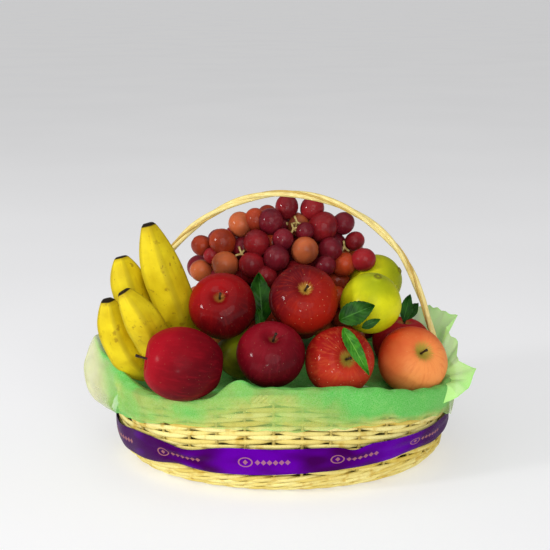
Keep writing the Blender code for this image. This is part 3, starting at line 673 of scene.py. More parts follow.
def banana_finish():
    """Ripe banana peel: butter yellow, ochre along its ridges, with brown flecks and a dry black tip."""
    made, tree, shader = finish("banana_peel", Roughness=0.55, Specular_IOR_Level=0.12)
    peel = add(tree, "Attribute", out="Vector", attribute_name="peel")
    ridge = add(tree, "Attribute", out="Fac", attribute_name="ridge")
    along = add(tree, "SeparateXYZ", {0: peel}, out=2)
    place = add(tree, "TexCoord", out="Object")
    # Ripening patches about 18 mm wide, and fibres under the skin, about 4 mm wide and 30 mm long
    blotch = add(tree, "TexNoise", {"Vector": place, "Scale": 55.0, "Detail": 4.0})
    fibre = add(tree, "TexNoise", {"Vector": peel, "Scale": 5.0, "Detail": 4.0})
    # Flecks of about 1 mm, and a few bruises of 5 mm
    fleck = add(tree, "TexNoise", {"Vector": place, "Scale": 330.0, "Detail": 2.0})
    bruise = add(tree, "TexNoise", {"Vector": place, "Scale": 120.0, "Detail": 3.0})
    colour = add(tree, "ValToRGB", {0: blotch}, stops=((0.36, "#DAC41A"), (0.68, "#C4AA0E")))
    # The last three: greener at the stalk, ochre over 9 mm at the tip, and black over its last 3 mm
    colour = layered(
        tree, colour,
        (ridge, 0.70, 1.0, 0.0, 0.50, "#A08C10"),
        (fibre, 0.55, 0.75, 0.0, 0.30, "#B48A10"),
        (fleck, 0.69, 0.74, 0.0, 0.55, "#6A4810"),
        (bruise, 0.62, 0.72, 0.0, 0.55, "#7A5412"),
        (along, 0.70, 0.95, 0.0, 1.0, "#A4A01C"),
        (along, 0.018, 0.060, 0.6, 0.0, "#A88C12"),
        (along, 0.010, 0.020, 1.0, 0.0, "#20160A"))
    return completed(made, tree, shader, colour, fibre, 0.0006, 0.35)


def grape_finish():
    """Grape skin: clear red to amber flesh shows through it, and a pale wax bloom dulls it in patches."""
    made, tree, shader = finish("grape_skin", Roughness=0.50, Specular_IOR_Level=0.04, Coat_Weight=0.38,
                                Coat_Roughness=0.07, Coat_IOR=1.40, Subsurface_Weight=0.12,
                                Subsurface_Scale=0.004, Subsurface_Radius=(1.0, 0.25, 0.15))
    own = add(tree, "Attribute", out="Vector", attribute_name="ripeness")
    place = add(tree, "TexCoord", out="Object")
    # Darker patches about 25 mm wide, at random, and bloom in patches of about 7 mm
    broad = add(tree, "TexNoise", {"Vector": place, "Scale": 38.0})
    bloom = add(tree, "TexNoise", {"Vector": place, "Scale": 140.0, "Detail": 4.0})
    colour = layered(
        tree, own,
        (broad, 0.40, 0.68, 0.0, 0.50, "#40101A"),
        (bloom, 0.54, 0.74, 0.0, 0.08, "#C88880"))
    tree.links.new(colour, shader.inputs["Base Color"])
    return made


def stalk_finish(name, light, dark):
    """Woody stalk, dried: matt, with dark cracks in its bark."""
    made, tree, shader = finish(name, Roughness=0.7, Specular_IOR_Level=0.3)
    place = add(tree, "TexCoord", out="Object")
    # Bark cracks about 2.5 mm apart
    bark = add(tree, "TexNoise", {"Vector": place, "Scale": 380.0, "Detail": 4.0})
    colour = add(tree, "ValToRGB", {0: bark}, stops=((0.38, light), (0.66, dark)))
    return completed(made, tree, shader, colour, bark, 0.0004, 0.6)


def leaf_finish(name, main, deep, vein):
    """A citrus-like leaf, waxy above: a pale midrib, and seven faint side veins that sweep to the tip."""
    made, tree, shader = finish(name, Roughness=0.40, Specular_IOR_Level=0.15)
    blade = add(tree, "Attribute", out="Vector", attribute_name="blade")
    along, across = add(tree, "SeparateXYZ", {0: blade}, out=slice(2))
    side = add(tree, "Math", {0: across}, operation="ABSOLUTE")
    swept = add(tree, "Math", {0: side, 1: -0.30, 2: along}, operation="MULTIPLY_ADD")
    turns = add(tree, "Math", {0: swept, 1: 7.0 * 2 * PI}, operation="MULTIPLY")
    ribs = add(tree, "Math", {0: turns}, operation="SINE")
    place = add(tree, "TexCoord", out="Object")
    # Lighter and darker patches about 9 mm wide
    broad = add(tree, "TexNoise", {"Vector": place, "Scale": 110.0, "Detail": 3.0})
    colour = add(tree, "ValToRGB", {0: broad}, stops=((0.36, main), (0.64, deep)))
    colour = layered(tree, colour, (ribs, 0.88, 1.0, 0.0, 0.15, vein), (side, 0.02, 0.07, 0.6, 0.0, vein))
    return completed(made, tree, shader, colour, ribs, 0.0003, 0.35)


def floor_finish():
    """A matt painted studio floor, lit a little from within so that it stays pale far behind the basket."""
    made, tree, shader = finish("studio_floor", Roughness=0.9, Specular_IOR_Level=0.1, Emission_Strength=0.44,
                                Emission_Color=linear("#FFFFFF"))
    place = add(tree, "TexCoord", out="Object")
    # Uneven paint, half a metre wide
    patch = add(tree, "TexNoise", {"Vector": place, "Scale": 2.0, "Detail": 1.0})
    colour = add(tree, "ValToRGB", {0: patch}, stops=((0.3, "#BEBEC0"), (0.7, "#C4C4C6")))
    tree.links.new(colour, shader.inputs["Base Color"])
    return made


# Woven wall

def woven(turn, level, swing, half_high, half_thick):
    """A closed rod round the wall: at each place its section is an ellipse about (swing, level).

    turn, level, swing and half_high run round the basket. Gives points and how proud each stands.
    """
    ring = round_steps(ROD_SIDES)
    out = swing[:, None] + half_thick * np.cos(ring)
    height = level[:, None] + np.broadcast_to(half_high, turn.shape)[:, None] * np.sin(ring)
    points = on_wall(stake_angle(turn)[:, None], height, WEAVE_MIDDLE + out)
    # From 0 at 3.5 mm inside the weave's middle to 1 at 2.5 mm outside it
    proud = (out + 0.0035) / 0.0060
    return points.reshape(-1, 3), proud.ravel()


def wicker(material):
    """Courses in plain weave over the wall, twined rods at the foot, upright stakes and a rolled border."""
    draw = np.random.default_rng(4)
    points, faces, proud, rod = [], [], [], []

    def keep(new_points, new_proud, rows, tone, closed=True):
        start = sum(len(p) for p in points)
        points.append(new_points)
        proud.append(new_proud)
        rod.append(np.full(len(new_points), tone))
        if closed:
            faces.append(grid_faces(rows, ROD_SIDES, start, wrap_rows=True))
        else:
            faces.extend(capped_faces(rows, ROD_SIDES, start))

    turn = round_steps(STAKES * 20)
    share_of_rim = rim_at(stake_angle(turn)) / RIM_HEIGHT
    stake_steps = STAKES * (turn - FIRST_STAKE) / (2 * PI)
    lowest, highest = WALE_TOP + 0.5 * COURSE_PITCH, RIM_HEIGHT - 2 * BORDER_DROP - 0.4 * COURSE_PITCH
    courses = int(round((highest - lowest) / COURSE_PITCH)) + 1
    for course, base in enumerate(np.linspace(lowest, highest, courses)):
        # Each course wanders up and down, and passes each stake a little early or late
        wobble = 0.00040 * np.sin(3 * turn + 1.7 * course) + 0.00025 * np.sin(7 * turn + 2.9 * course)
        shift = 0.10 * np.sin(5 * turn + 2.1 * course) + 0.08 * np.sin(11 * turn + 4.7 * course)
        from_under = np.abs((stake_steps + course + shift) % 2 - 1)
        under = hump(1 - from_under, 0.27)
        over = hump(from_under, 0.45)
        swing = WEAVE_REST + (WEAVE_OVER - WEAVE_REST) * over + (WEAVE_UNDER - WEAVE_REST) * under
        half_high = COURSE_HALF_HIGH * draw.uniform(0.94, 1.04) * (1 + 0.06 * over - 0.25 * under)
        made, out = woven(turn, base * share_of_rim + wobble, swing, half_high, COURSE_HALF_THICK)
        keep(made, out, len(turn), draw.uniform(0, 1))

    twine = round_steps(STAKES * 14)
    for row, base in enumerate(np.linspace(WALE_FOOT, WALE_TOP - WALE_ROOM, WALE_ROWS)):
        for strand in range(3):
            spin = WALE_TURNS * twine + 2 * PI * strand / 3 + 1.3 * row + 0.5 * np.sin(4 * twine + row)
            level = base + WALE_TWINE * np.sin(spin) + 0.0002 * np.sin(5 * twine + row)
            swing = WALE_TWINE * np.cos(spin) + 0.0002
            made, out = woven(twine, level, swing, WALE_HALF_HIGH, WALE_HALF_THICK)
            keep(made, out, len(twine), draw.uniform(0, 1))

    border = round_steps(STAKES * 18)
    for strand in range(3):
        spin = BORDER_TURNS * border + 2 * PI * strand / 3
        level = rim_at(stake_angle(border)) - BORDER_DROP + 0.0022 * np.sin(spin)
        made, out = woven(border, level, 0.0020 * np.cos(spin) - 0.0002, BORDER_HALF, BORDER_HALF)
        keep(made, out, len(border), draw.uniform(0.3, 1))

    rise = np.linspace(0, 1, 26)
    for stake in range(STAKES):
        at = stake_angle(np.array(FIRST_STAKE + 2 * PI * stake / STAKES))
        height = STAKE_FOOT + rise * (rim_at(at) - BORDER_DROP - STAKE_FOOT)
        path = on_wall(at, height, WEAVE_MIDDLE)
        made = tube(path, STAKE_RADIUS, ROD_SIDES, (-math.sin(at), math.cos(at), 0.0))
        keep(made, np.full(len(made), 0.30), len(path), 0.3, closed=False)

    return put("willow_weave", np.concatenate(points), faces, material,
               proud=np.concatenate(proud), rod=np.concatenate(rod))


def woven_foot(material):
    """The oval base: a thin closed disc, its rods woven as rings that pass over spokes."""
    share = np.linspace(0.05, 1.0, 60)
    turn = round_steps(144)
    relief = 0.0005 * np.sin(2 * PI * BASE_RINGS * share)[:, None] * np.sin(BASE_SPOKES * turn)[None, :]
    edge = on_wall(turn, 0.0015, -0.0030)[None]
    under = edge * share[:, None, None]
    under[..., 2] = BASE_UNDER + relief - 0.0002 * share[:, None]
    over = under.copy()
    over[..., 2] = BASE_OVER + relief
    rows = np.concatenate([under[::-1], over])[::-1]
    points = np.concatenate([rows.reshape(-1, 3), [(0, 0, BASE_OVER), (0, 0, BASE_UNDER + 0.0002)]])
    return put("willow_foot", points, capped_faces(len(rows), len(turn)), material,
               proud=np.full(len(points), 0.5), rod=np.full(len(points), 0.4))


# Handle

def hoop_path(count):
    """Up one leg inside the wall, over the arch, and down the other leg."""
    rise = np.linspace(HOOP_LEAVES, PI - HOOP_LEAVES, count)
    arch = np.c_[HOOP_HALF * np.cos(rise), HOOP_SPRING + HOOP_RISE * np.sin(rise)]
    leg = smooth_rows([(LEG_X - LEG_LEAN, LEG_FOOT), (LEG_X - 0.5 * LEG_LEAN, 0.070), (LEG_X, 0.092),
                       (LEG_X - 0.0008, LEG_MEETS_WALL), (0.1445, 0.141), tuple(arch[0])], count // 3)[:-1]
    flat = np.vstack([leg, arch, leg[::-1] * (-1, 1)])
    lean = HOOP_CENTRE * np.clip((flat[:, 1] - LEG_MEETS_WALL) / 0.05, 0, 1)
    return np.c_[flat[:, 0] + lean, np.zeros(len(flat)), flat[:, 1]]


def handle_canes(light, dark):
    """Two canes wound round each other along the hoop, and a thinner one in their groove, coloured darker as
    painted shade.
    """
    path = hoop_path(260)
    along = np.r_[0, np.cumsum(np.linalg.norm(np.diff(path, axis=0), axis=1))]
    side, over = square_to(path, (0.0, 1.0, 0.0))
    spin = CANE_TWISTS * PI * along / along[-1] + 0.25 * np.sin(along / 0.03)
    ring = round_steps(CANE_SIDES)
    fibre = stacked(np.cos(ring)[None], np.sin(ring)[None], 25 * along[:, None]).reshape(-1, 3)
    fibre = np.concatenate([fibre, [(0, 0, 0), (0, 0, 0)]])
    made = []
    # name, where it starts round the hoop's line, how far it is from that line, radius, material
    for name, phase, off, radius, material in (
            ("handle_cane_a", 0.0, 0.0015, 0.0025, light), ("handle_cane_b", PI, 0.0015, 0.0024, light),
            ("handle_cane_thin", 0.5 * PI, 0.0028, 0.0010, dark)):
        turn = (spin + phase)[:, None]
        rod = path + off * (np.cos(turn) * side + np.sin(turn) * over)
        points = tube(rod, radius, CANE_SIDES, (0.0, 1.0, 0.0))
        made.append(put(name, points, capped_faces(len(rod), CANE_SIDES), material, fibre=fibre))
    return made


# Satin band

def band_top(angle):
    """The height of the band's upper edge, without its folds."""
    return RIBBON_HIGH - RIBBON_LEFT_DROP * np.clip(-np.cos(angle), 0, 1) ** 2


def satin_band(material):
    """The band: a strip round the wall, pulled straight over the stakes it presses on, with soft folds."""
    turn = round_steps(900)
    angle = stake_angle(turn)
    width = np.linspace(0, 1, 19)
    folds_low, folds_high = hills(angle, RIBBON_LOW_FOLDS), hills(angle, RIBBON_HIGH_FOLDS)
    low = RIBBON_LOW + RIBBON_SLOPE * np.cos(angle) + folds_low
    high = band_top(angle) + folds_high
    place = round_oval(angle)
    # It stands out a little over every other stake, and buckles where its folds narrow it
    press = 0.0003 * np.cos(0.5 * STAKES * (turn - FIRST_STAKE)) ** 2
    slack = 0.0006 * waves(place, 6, 26, 3)
    bunched = np.clip((folds_low - folds_high)[:, None] / 0.006, 0, 1.3)
    buckle = 0.0011 * bunched * np.sin(3 * PI * width + 0.6) * np.sin(PI * width) ** 0.5
    out = RIBBON_OUT + press[:, None] + slack[:, None] * (0.3 + 0.7 * width)
    out = out + 0.0005 * np.sin(PI * width) + buckle
    height = low[:, None] + width * (high - low)[:, None]
    points = on_wall(angle[:, None], height, out)
    run = np.cumsum(np.linalg.norm(np.diff(points[:, 0], axis=0, append=points[:1, 0]), axis=1)) * 1000
    # Painted sheen: panels where the band is drawn brighter, as if turned to the light, and a finer ripple
    panels = hills(angle, ((-98, 1.0, 17), (-52, 0.9, 13), (20, 0.8, 20), (80, 1.0, 20), (140, 0.8, 16)))
    sheen = waves(stacked(run[:, None], 60 * width), 9, 22, 8)
    across = PRINT_WIDE * (width - 0.5)
    band = stacked(run[:, None] + PRINT_SHIFT, across, panels[:, None] + 0.35 * sheen)
    made = put("satin_band", points.reshape(-1, 3),
               [grid_faces(len(turn), len(width), wrap_rows=True, wrap_columns=False)], material,
               band=band.reshape(-1, 3))
    return made


# Tulle

def tulle_collar(material):
    """The tulle folded over the rim: from inside the wall, up to the fold, and down outside to a free hem."""
    angle = round_steps(1000)
    rim = rim_at(angle)
    place = round_oval(angle)
    rise = COLLAR_STANDS + hills(angle, FOLD_RISES) + 0.0014 * waves(place, 8, 16, 21)
    reach = 0.0010 + 0.0010 * (1 + np.cos(13 * angle)) + hills(angle, BILLOW_REACHES)
    hem = HEM - hills(angle, HEM_DROPS) + 0.0015 * waves(place, 10, 11, 22)
    hem = hem + 0.0008 * creases(place, 6, 6, 23)
    over_band = 0.0016 * np.clip((band_top(angle) + 0.004 - hem) / 0.004, 0, 1)
    top = rim + rise
    # Height, and how far outside the wall, from the inner edge over the fold to the hem
    rows = smooth_rows([
        stacked(np.full_like(rim, BED_HEIGHT - 0.006), -0.0125),
        stacked(rim + 0.1 * rise, -0.0112),
        stacked(top - 0.0012, -0.0045 + 0.60 * reach),
        stacked(top, 0.0010 + 0.72 * reach),
        stacked(rim + 0.40 * rise, COLLAR_OUT + reach),
        stacked(0.6 * hem + 0.4 * rim, COLLAR_OUT + over_band + 0.75 * reach),
        stacked(hem, COLLAR_OUT - 0.0004 + over_band + 0.12 * reach),
    ], 84)
    down = np.linspace(0, 1, len(rows))[:, None]
    slope = stacked(place[:, 0], place[:, 1], 60 * down)
    stretched = slope * (0.35, 0.35, 1.0)
    # The net hangs looser at both ends and at the back
    loose = 0.45 + 1.6 * hills(angle, ((190, 1.0, 26), (12, 0.8, 22), (90, 0.3, 60)))
    wrinkle = 0.0007 * waves(slope, 14, 9, 24) + 0.0014 * (creases(slope, 9, 16, 25) - 0.35)
    gather = 0.0016 * (creases(stretched, 8, 9, 29) - 0.35)
    out = rows[..., 1] + (wrinkle * loose + gather * (0.5 + 0.5 * loose)) * np.clip(down * 6, 0.2, 1)
    outside = down > 0.62
    out = np.where(outside, np.maximum(out, 0.0020 + 2.2 * over_band), out)
    height = rows[..., 0] + 0.0005 * waves(slope, 8, 8, 26)
    points = on_wall(angle, height, out)
    # It is denser where it doubles at the front right, at the fold and at the hem; the billow at the left
    # is thin, and denser low down where it lies close to the wall
    doubled = hills(angle, ((-56, 0.55, 26), (-26, 0.35, 16))) * np.clip((1.0 - down) / 0.28, 0, 1)
    near_fold = np.clip(1.55 - 1.9 * np.abs(down - 0.45), 0, 1)
    layers = (0.10 + 0.42 * near_fold + doubled + 0.20 * waves(stretched, 8, 16, 27)
              + 0.30 * (creases(stretched, 7, 11, 28) - 0.4))
    layers = layers + 0.30 * hump(down - 0.46, 0.03)
    layers = layers + 0.30 * hump(1 - down, 0.015)
    billow = hills(angle, ((192, 1.0, 34),)) * np.clip((out - 0.013) / 0.008, 0, 1)
    dense_near_wall = hills(angle, ((190, 0.9, 20),)) * np.clip(1 - np.abs(out - 0.004) / 0.008, 0, 1)
    layers = np.clip(layers - 0.15 * billow + dense_near_wall, 0, 1.2)
    made = put("tulle_collar", points.reshape(-1, 3), [grid_faces(*height.shape)], material,
               layers=layers.ravel(), cream=(0.85 * billow + hills(angle, ((-6, 0.30, 14),))).ravel())
    return made


def tulle_bed(material):
    """The tulle under the fruit: an oval of crumpled net that meets the collar inside the wall."""
    angle = round_steps(360)
    share = np.linspace(1.0, 0.02, 90)
    edge = on_wall(angle, BED_HEIGHT, -0.0122)[None]
    x, y = edge[..., 0] * share[:, None], edge[..., 1] * share[:, None]
    place = np.stack([x, y], -1) * 1000
    crumple = 0.0050 * (creases(place, 10, 26, 31) - 0.45) + 0.0012 * waves(place, 12, 9, 32)
    z = bed_at(x, y) - 0.0008 + crumple
    z[0] = BED_HEIGHT - 0.004
    points = np.stack([x, y, z], -1)
    layers = 0.85 + 0.2 * waves(place, 8, 30, 33)
    made = put("tulle_bed", points.reshape(-1, 3), [grid_faces(*x.shape)[:, ::-1]], material,
               layers=layers.ravel())
    return made


def tulle_frill(material):
    """A loose flap of tulle that stands up from inside the rim at the right and ends in a jagged cut edge."""
    edge_angle, edge_out, edge_rise = np.array(FRILL_EDGE).T
    angle = np.radians(np.linspace(edge_angle[0], edge_angle[-1], 420))
    span = np.linspace(0, 1, len(angle))
    rim = rim_at(angle)
    place = round_oval(angle)
    ends = np.clip(np.minimum(span, 1 - span) / 0.05, 0, 1) ** 0.7
    jag = 0.0016 * waves(place, 9, 7, 41) + 0.0024 * (creases(place, 6, 9, 42) - 0.4)
    rise = np.interp(np.degrees(angle), edge_angle, edge_rise) + jag * ends
    reach = np.interp(np.degrees(angle), edge_angle, edge_out) + 0.0008 * waves(place, 8, 10, 43)
    stands = np.maximum(rise, 0.008)
    # Height, and how far outside the wall, from inside the rim to the cut edge
    rows = smooth_rows([
        stacked(rim - 0.010, -0.0105),
        stacked(rim + 0.30 * stands, -0.0075 + 0.25 * reach),
        stacked(rim + 0.66 * stands, -0.0035 + 0.62 * reach),
        stacked(rim + rise, reach),
    ], 46)
    up = np.linspace(0, 1, len(rows))[:, None]
    slope = stacked(place[:, 0], place[:, 1], 14 * up)
    pleat = 0.0016 * waves(slope, 10, 9, 44) + 0.0034 * (creases(slope, 6, 12, 45) - 0.4)
    out = rows[..., 1] + pleat * np.sin(PI * np.clip(up, 0, 0.9)) * ends
    points = on_wall(angle, rows[..., 0], out)
    layers = (0.50 + 0.25 * waves(slope, 8, 16, 46) + 0.5 * (creases(slope, 7, 10, 47) - 0.4)
              + 0.25 * hump(1 - up, 0.03))
    faces = [grid_faces(*out.shape, wrap_columns=False)]
    made = put("tulle_frill_right", points.reshape(-1, 3), faces, material,
               layers=np.clip(layers, 0, 1.2).ravel())
    return made


# Round fruit

def turned_body(turn, out, height, sides, lobes=lambda angle, share: 0.0):
    """A closed turned body: rings at the turns from pole to pole, pressed in and out by lobes.

    Also gives each point's polar place: its direction round the axis, and its share of the way down.
    """
    angle = round_steps(sides)
    share = (turn / PI)[1:-1, None]
    ring = out[1:-1, None] * (1 + lobes(angle, share))
    body = stacked(ring * np.cos(angle), ring * np.sin(angle), height[1:-1, None]).reshape(-1, 3)
    polar = stacked(np.cos(angle), np.sin(angle), share).reshape(-1, 3)
    points = np.concatenate([body, [(0, 0, height[0])], [(0, 0, height[-1])]])
    return points, np.concatenate([polar, [(0, 0, 0), (0, 0, 1)]]), capped_faces(len(out) - 2, sides)


def apple(name, middle, radius, direction, squat, stem_long, deep_shaded_side, material, stalk, seed):
    """An apple: a squat turned body with a funnel at the stem, a shallow dimple at the eye, and five lobes.

    A value runs from 0 to 1 towards the deeper side: partly the skin's own deeper red, partly painted shade.
    """
    radius /= 1000
    half = squat * radius
    turn = np.r_[np.linspace(0, 0.5, 22)[:-1], np.linspace(0.5, PI, 50)]
    out = radius * np.sin(turn) * (1 - 0.10 * (0.5 - 0.5 * np.cos(turn)) ** 2)
    height = half * np.cos(turn)
    # The stem's hollow, and the dimple at the eye
    height -= np.where(turn < PI / 2, 0.38 * half * np.exp(-(np.abs(out) / (0.27 * radius)) ** 1.6), 0)
    height += np.where(turn > PI / 2, 0.24 * half * hump(out, 0.28 * radius), 0)

    def lobes(angle, share):
        five = np.cos(5 * angle + seed) * (0.006 + 0.022 * share**3)
        lean = 0.018 * np.cos(angle + 2.1 * seed) + 0.010 * np.cos(2 * angle + seed)
        return (five + lean) * np.sin(PI * share)

    points, polar, faces = turned_body(turn, out, height, 72, lobes)
    skin = stood(points, middle, direction)
    # Deeper towards one side: partly the skin's own deeper red, partly painted shade
    blush = 0.5 + 0.5 * (skin - np.asarray(middle)) @ deep_shaded_side / radius
    made = put(f"{name}_skin", skin, faces, material, local=points / radius, polar=polar, blush=blush)
    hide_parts(name)
    foot = height[0] - 0.001
    path = smooth_rows([(0, 0, foot), (0.0003, 0, foot + 0.4 * stem_long),
                        (0.0010, 0.0004, foot + 0.7 * stem_long), (0.0020, 0.0008, foot + stem_long)], 14)
    thick = np.linspace(0.0010, 0.0011, 14)
    thick[-3:] = (0.0013, 0.0015, 0.0012)
    stem = tube(path, thick, 10, (0.0, 1.0, 0.0))
    made_stem = put(f"{name}_stem", stood(stem, middle, direction), capped_faces(14, 10), stalk)
    return made


def guava(name, middle, radius, direction, material, stalk, seed):
    """A guava: a round turned body, a little knobbly, that ends in a small raised crown."""
    radius /= 1000
    turn = np.linspace(0, PI, 56)
    out = radius * np.sin(turn)
    height = 1.02 * radius * np.cos(turn)
    # The raised crown, with a small pit in it
    height += 0.10 * radius * np.exp(-((out / (0.16 * radius)) ** 6)) * (turn < PI / 2)
    height -= 0.07 * radius * hump(out, 0.08 * radius) * (turn < PI / 2)

    def lobes(angle, share):
        return (0.016 * np.cos(4 * angle + seed) + 0.010 * np.cos(7 * angle + 2 * seed)) * np.sin(PI * share)

    points, _, faces = turned_body(turn, out, height, 64, lobes)
    made = put(f"{name}_skin", stood(points, middle, direction), faces, material, local=points / radius)
    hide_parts(name)
    crown_at = height[0] - 0.001
    tips = []
    for leaf_index in range(5):
        way = 2 * PI * leaf_index / 5 + seed
        path = np.array([(0.0010 * math.cos(way), 0.0010 * math.sin(way), crown_at),
                         (0.0020 * math.cos(way), 0.0020 * math.sin(way), crown_at + 0.0014),
                         (0.0034 * math.cos(way), 0.0034 * math.sin(way), crown_at + 0.0020)])
        tips.append(tube(smooth_rows(path, 6), np.linspace(0.0008, 0.0003, 6), 6, (0, 0, 1.0)))
    faces = [block for k in range(5) for block in capped_faces(6, 6, start=k * len(tips[0]))]
    crown = put(f"{name}_crown", stood(np.concatenate(tips), middle, direction), faces, stalk)
    return made


# Bananas

def banana(name, places, radius, material):
    """A banana: a five-ridged section carried along its axis, from a blunt tip to the stalk."""
    rows, sides = 70, 40
    path = smooth_rows(places, rows)
    share = np.linspace(0, 1, rows)
    # It swells from the tip over the first 36%, and narrows to the stalk over the last 42%
    swell = np.sin(np.minimum(share / 0.36, 1) * PI / 2) ** 0.85
    neck = np.clip((1 - share) / 0.42, 0, 1) ** 0.5
    thick = np.maximum((BANANA_TIP + (radius - BANANA_TIP) * swell) * neck, BANANA_STALK)
    thick[:3] *= (0.86, 0.99, 1.0)
    ring = round_steps(sides)
    ridges = 1 + 0.050 * np.cos(5 * ring) + 0.016 * np.cos(10 * ring)
    points = tube(path, thick, sides, (0.0, 1.0, 0.0), ridges)
    # The tip's end point stands out a little, so that the tip is rounded
    points[-2] += 0.0007 * unit(path[1] - path[0])
    peel = stacked(np.cos(ring), np.sin(ring), share[:, None]).reshape(-1, 3)
    peel = np.concatenate([peel, [(0, 0, 0), (0, 0, 1)]])
    on_ridge = np.r_[np.tile(0.5 + 0.5 * np.cos(5 * ring), rows), 0, 0]
    made = put(f"{name}_peel", points, capped_faces(rows, sides), material, peel=peel, ridge=on_ridge)
    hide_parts(name)
    return made


# Grapes

def heap_place(across, up):
    """Where the line of sight at across, up meets the heap, or passes nearest to it."""
    eye = seen(0, 0, 0) - AWAY * EYE_DISTANCE
    ray = unit(seen(across, up, 0) - eye)
    start, step = (eye - HEAP_MIDDLE) / HEAP_HALF, ray / HEAP_HALF
    a, b, c = step @ step, 2 * start @ step, start @ start - 1
    return eye + ray * (-b - math.sqrt(max(b * b - 4 * a * c, 0))) / (2 * a)


def down_heap(step, steps):
    """At one of the even steps down the heap, the share of its width, and the height over its middle."""
    height = 1 - (step + 0.5) / steps * 1.75
    out = math.sqrt(max(1 - max(height, 0) ** 2, 0))
    return out, (HEAP_HALF[2] if height > 0 else GRAPES_FOOT) * height


def grape_places():
    """Middles, radii and colours of the grapes: those seen from the front, then the rest of the heap.

    The rest stand at even golden-angle steps down the heap, and are pushed apart where they would
    overlap. Those of them that would stand inside the guava beside the heap are left out.
    """
    middles = [heap_place(a, u) for a, u, _, _ in GRAPES_SEEN]
    middles[LEANING_GRAPE] = seen(*GRAPES_SEEN[LEANING_GRAPE][:2], LEANING_DEPTH)
    radii = [r / 1000 for _, _, r, _ in GRAPES_SEEN]
    held = len(GRAPES_SEEN)
    draw = np.random.default_rng(7)
    golden = PI * (3 - math.sqrt(5))
    for i in range(GRAPES_BEHIND):
        out, tall = down_heap(i, GRAPES_BEHIND)
        radius = GRAPE_RADIUS * draw.uniform(0.86, 1.10)
        across, deep = HEAP_HALF[:2] * out * (math.cos(golden * i), math.sin(golden * i))
        middle = HEAP_MIDDLE + (across, deep, tall)
        near = np.linalg.norm(np.array(middles) - middle, axis=1) - 0.80 * (np.array(radii) + radius)
        if near.min() > 0:
            middles.append(middle)
            radii.append(radius)
    for i in range(GRAPES_INSIDE):
        out, tall = down_heap(i, GRAPES_INSIDE)
        way = golden * i + 1.0
        across, deep = HEAP_HALF[:2] * out * (0.76 * math.cos(way), 0.58 * math.sin(way))
        middles.append(HEAP_MIDDLE + (across, deep, 0.80 * tall))
        radii.append(GRAPE_RADIUS * draw.uniform(0.90, 1.08))
    middles, radii = np.array(middles), np.array(radii)
    for _ in range(30):
        apart = middles[:, None] - middles[None]
        far = np.linalg.norm(apart, axis=2) + np.eye(len(radii))
        want = 0.93 * (radii[:, None] + radii[None])
        push = np.clip(want - far, 0, None) * (1 - np.eye(len(radii)))
        step = (apart / far[..., None] * push[..., None]).sum(axis=1) * 0.25
        step[:held] = 0
        middles = middles + step
    names = list(GRAPE_COLOURS)
    picked = [names.index(kind) for _, _, _, kind in GRAPES_SEEN]
    picked += list(draw.choice(len(names), size=len(radii) - held, p=GRAPE_WEIGHTS))
    palette = np.array([linear(GRAPE_COLOURS[name])[:3] for name in names])
    colours = palette[picked] * draw.uniform(0.85, 1.2, (len(radii), 1))
    at, guava_radius, _ = GUAVAS["guava_behind"]
    far = np.linalg.norm(middles - seen(*at), axis=1)
    clear = far > guava_radius / 1000 + GUAVA_CLEARANCE * radii
    clear[:held] = True
    return middles[clear], radii[clear], colours[clear]


def bunch(material, stalk):
    """The grapes: one slightly long ball repeated, its axis pointing out of the heap, and stalks to the front
    ones.
    """
    middles, radii, colours = grape_places()
    rings, sides = 11, 16
    turn = np.linspace(0, PI, rings + 2)
    out = np.sin(turn)
    height = (1.08 - 0.03 * hump(out, 0.16)) * np.cos(turn)
    ball, _, _ = turned_body(turn, out, height, sides)
    # Each grape points away from its place on a smaller, flatter heap inside this one
    core = HEAP_MIDDLE + (middles - HEAP_MIDDLE) * (0.55, 0.10, 0.55)
    way = unit(middles - core)
    side = unit(np.cross(way, (0.31, 0.23, 0.92)))
    over = np.cross(way, side)
    spread = ball[None] * radii[:, None, None]
    points = (middles[:, None] + spread[..., :1] * side[:, None] + spread[..., 1:2] * over[:, None]
              + spread[..., 2:] * way[:, None])
    count = len(ball)
    faces = [block for k in range(len(radii)) for block in capped_faces(rings, sides, start=k * count)]
    ripeness = np.broadcast_to(colours[:, None], points.shape).reshape(-1, 3)
    made = put("grape_bunch", points.reshape(-1, 3), faces, material, ripeness=ripeness)
    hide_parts("grapes")
    # Stalks of the grapes that show, the spine that they come from, and the forks
    held = len(GRAPES_SEEN)
    joint = middles[:held] - way[:held] * radii[:held, None] * 0.9
    back = core[:held] + (0, 0.004, 0.006)
    bend = 0.5 * (joint + back) + (0, 0, 0.006)
    paths = smooth_rows(np.stack([joint, bend, back]), 9).transpose(1, 0, 2)
    stalks = [tube(path, np.linspace(0.0013, 0.0009, 9), 7, (0.2, 0.4, 0.9)) for path in paths]
    blocks = [block for k in range(held) for block in capped_faces(9, 7, start=k * len(stalks[0]))]
    spine = [(-0.070, 0.0, 0.010), (-0.035, 0.002, 0.050), (0.0, 0.0, 0.075), (0.035, 0.0, 0.052),
             (0.070, 0.0, 0.012)]
    spine = smooth_rows([HEAP_MIDDLE + place for place in spine], 40)
    start = held * len(stalks[0])
    stalks.append(tube(spine, 0.0019, 9, (0.0, 1.0, 0.0)))
    blocks += capped_faces(40, 9, start=start)
    for across, up in STALK_FORKS:
        knot = heap_place(across, up) - 0.001 * AWAY
        for twig in range(4):
            lean = 2.4 * twig + across
            out = (0.005 + 0.001 * twig) * (math.cos(lean) * ACROSS + math.sin(lean) * UP)
            path = smooth_rows([knot + 0.005 * AWAY, knot, knot + out + 0.001 * AWAY], 8)
            start = sum(map(len, stalks))
            stalks.append(tube(path, np.linspace(0.0008, 0.0012, 8), 7, AWAY))
            blocks += capped_faces(8, 7, start=start)
    wood = put("grape_stalks", np.concatenate(stalks), blocks, stalk)
    return made


# Leaves

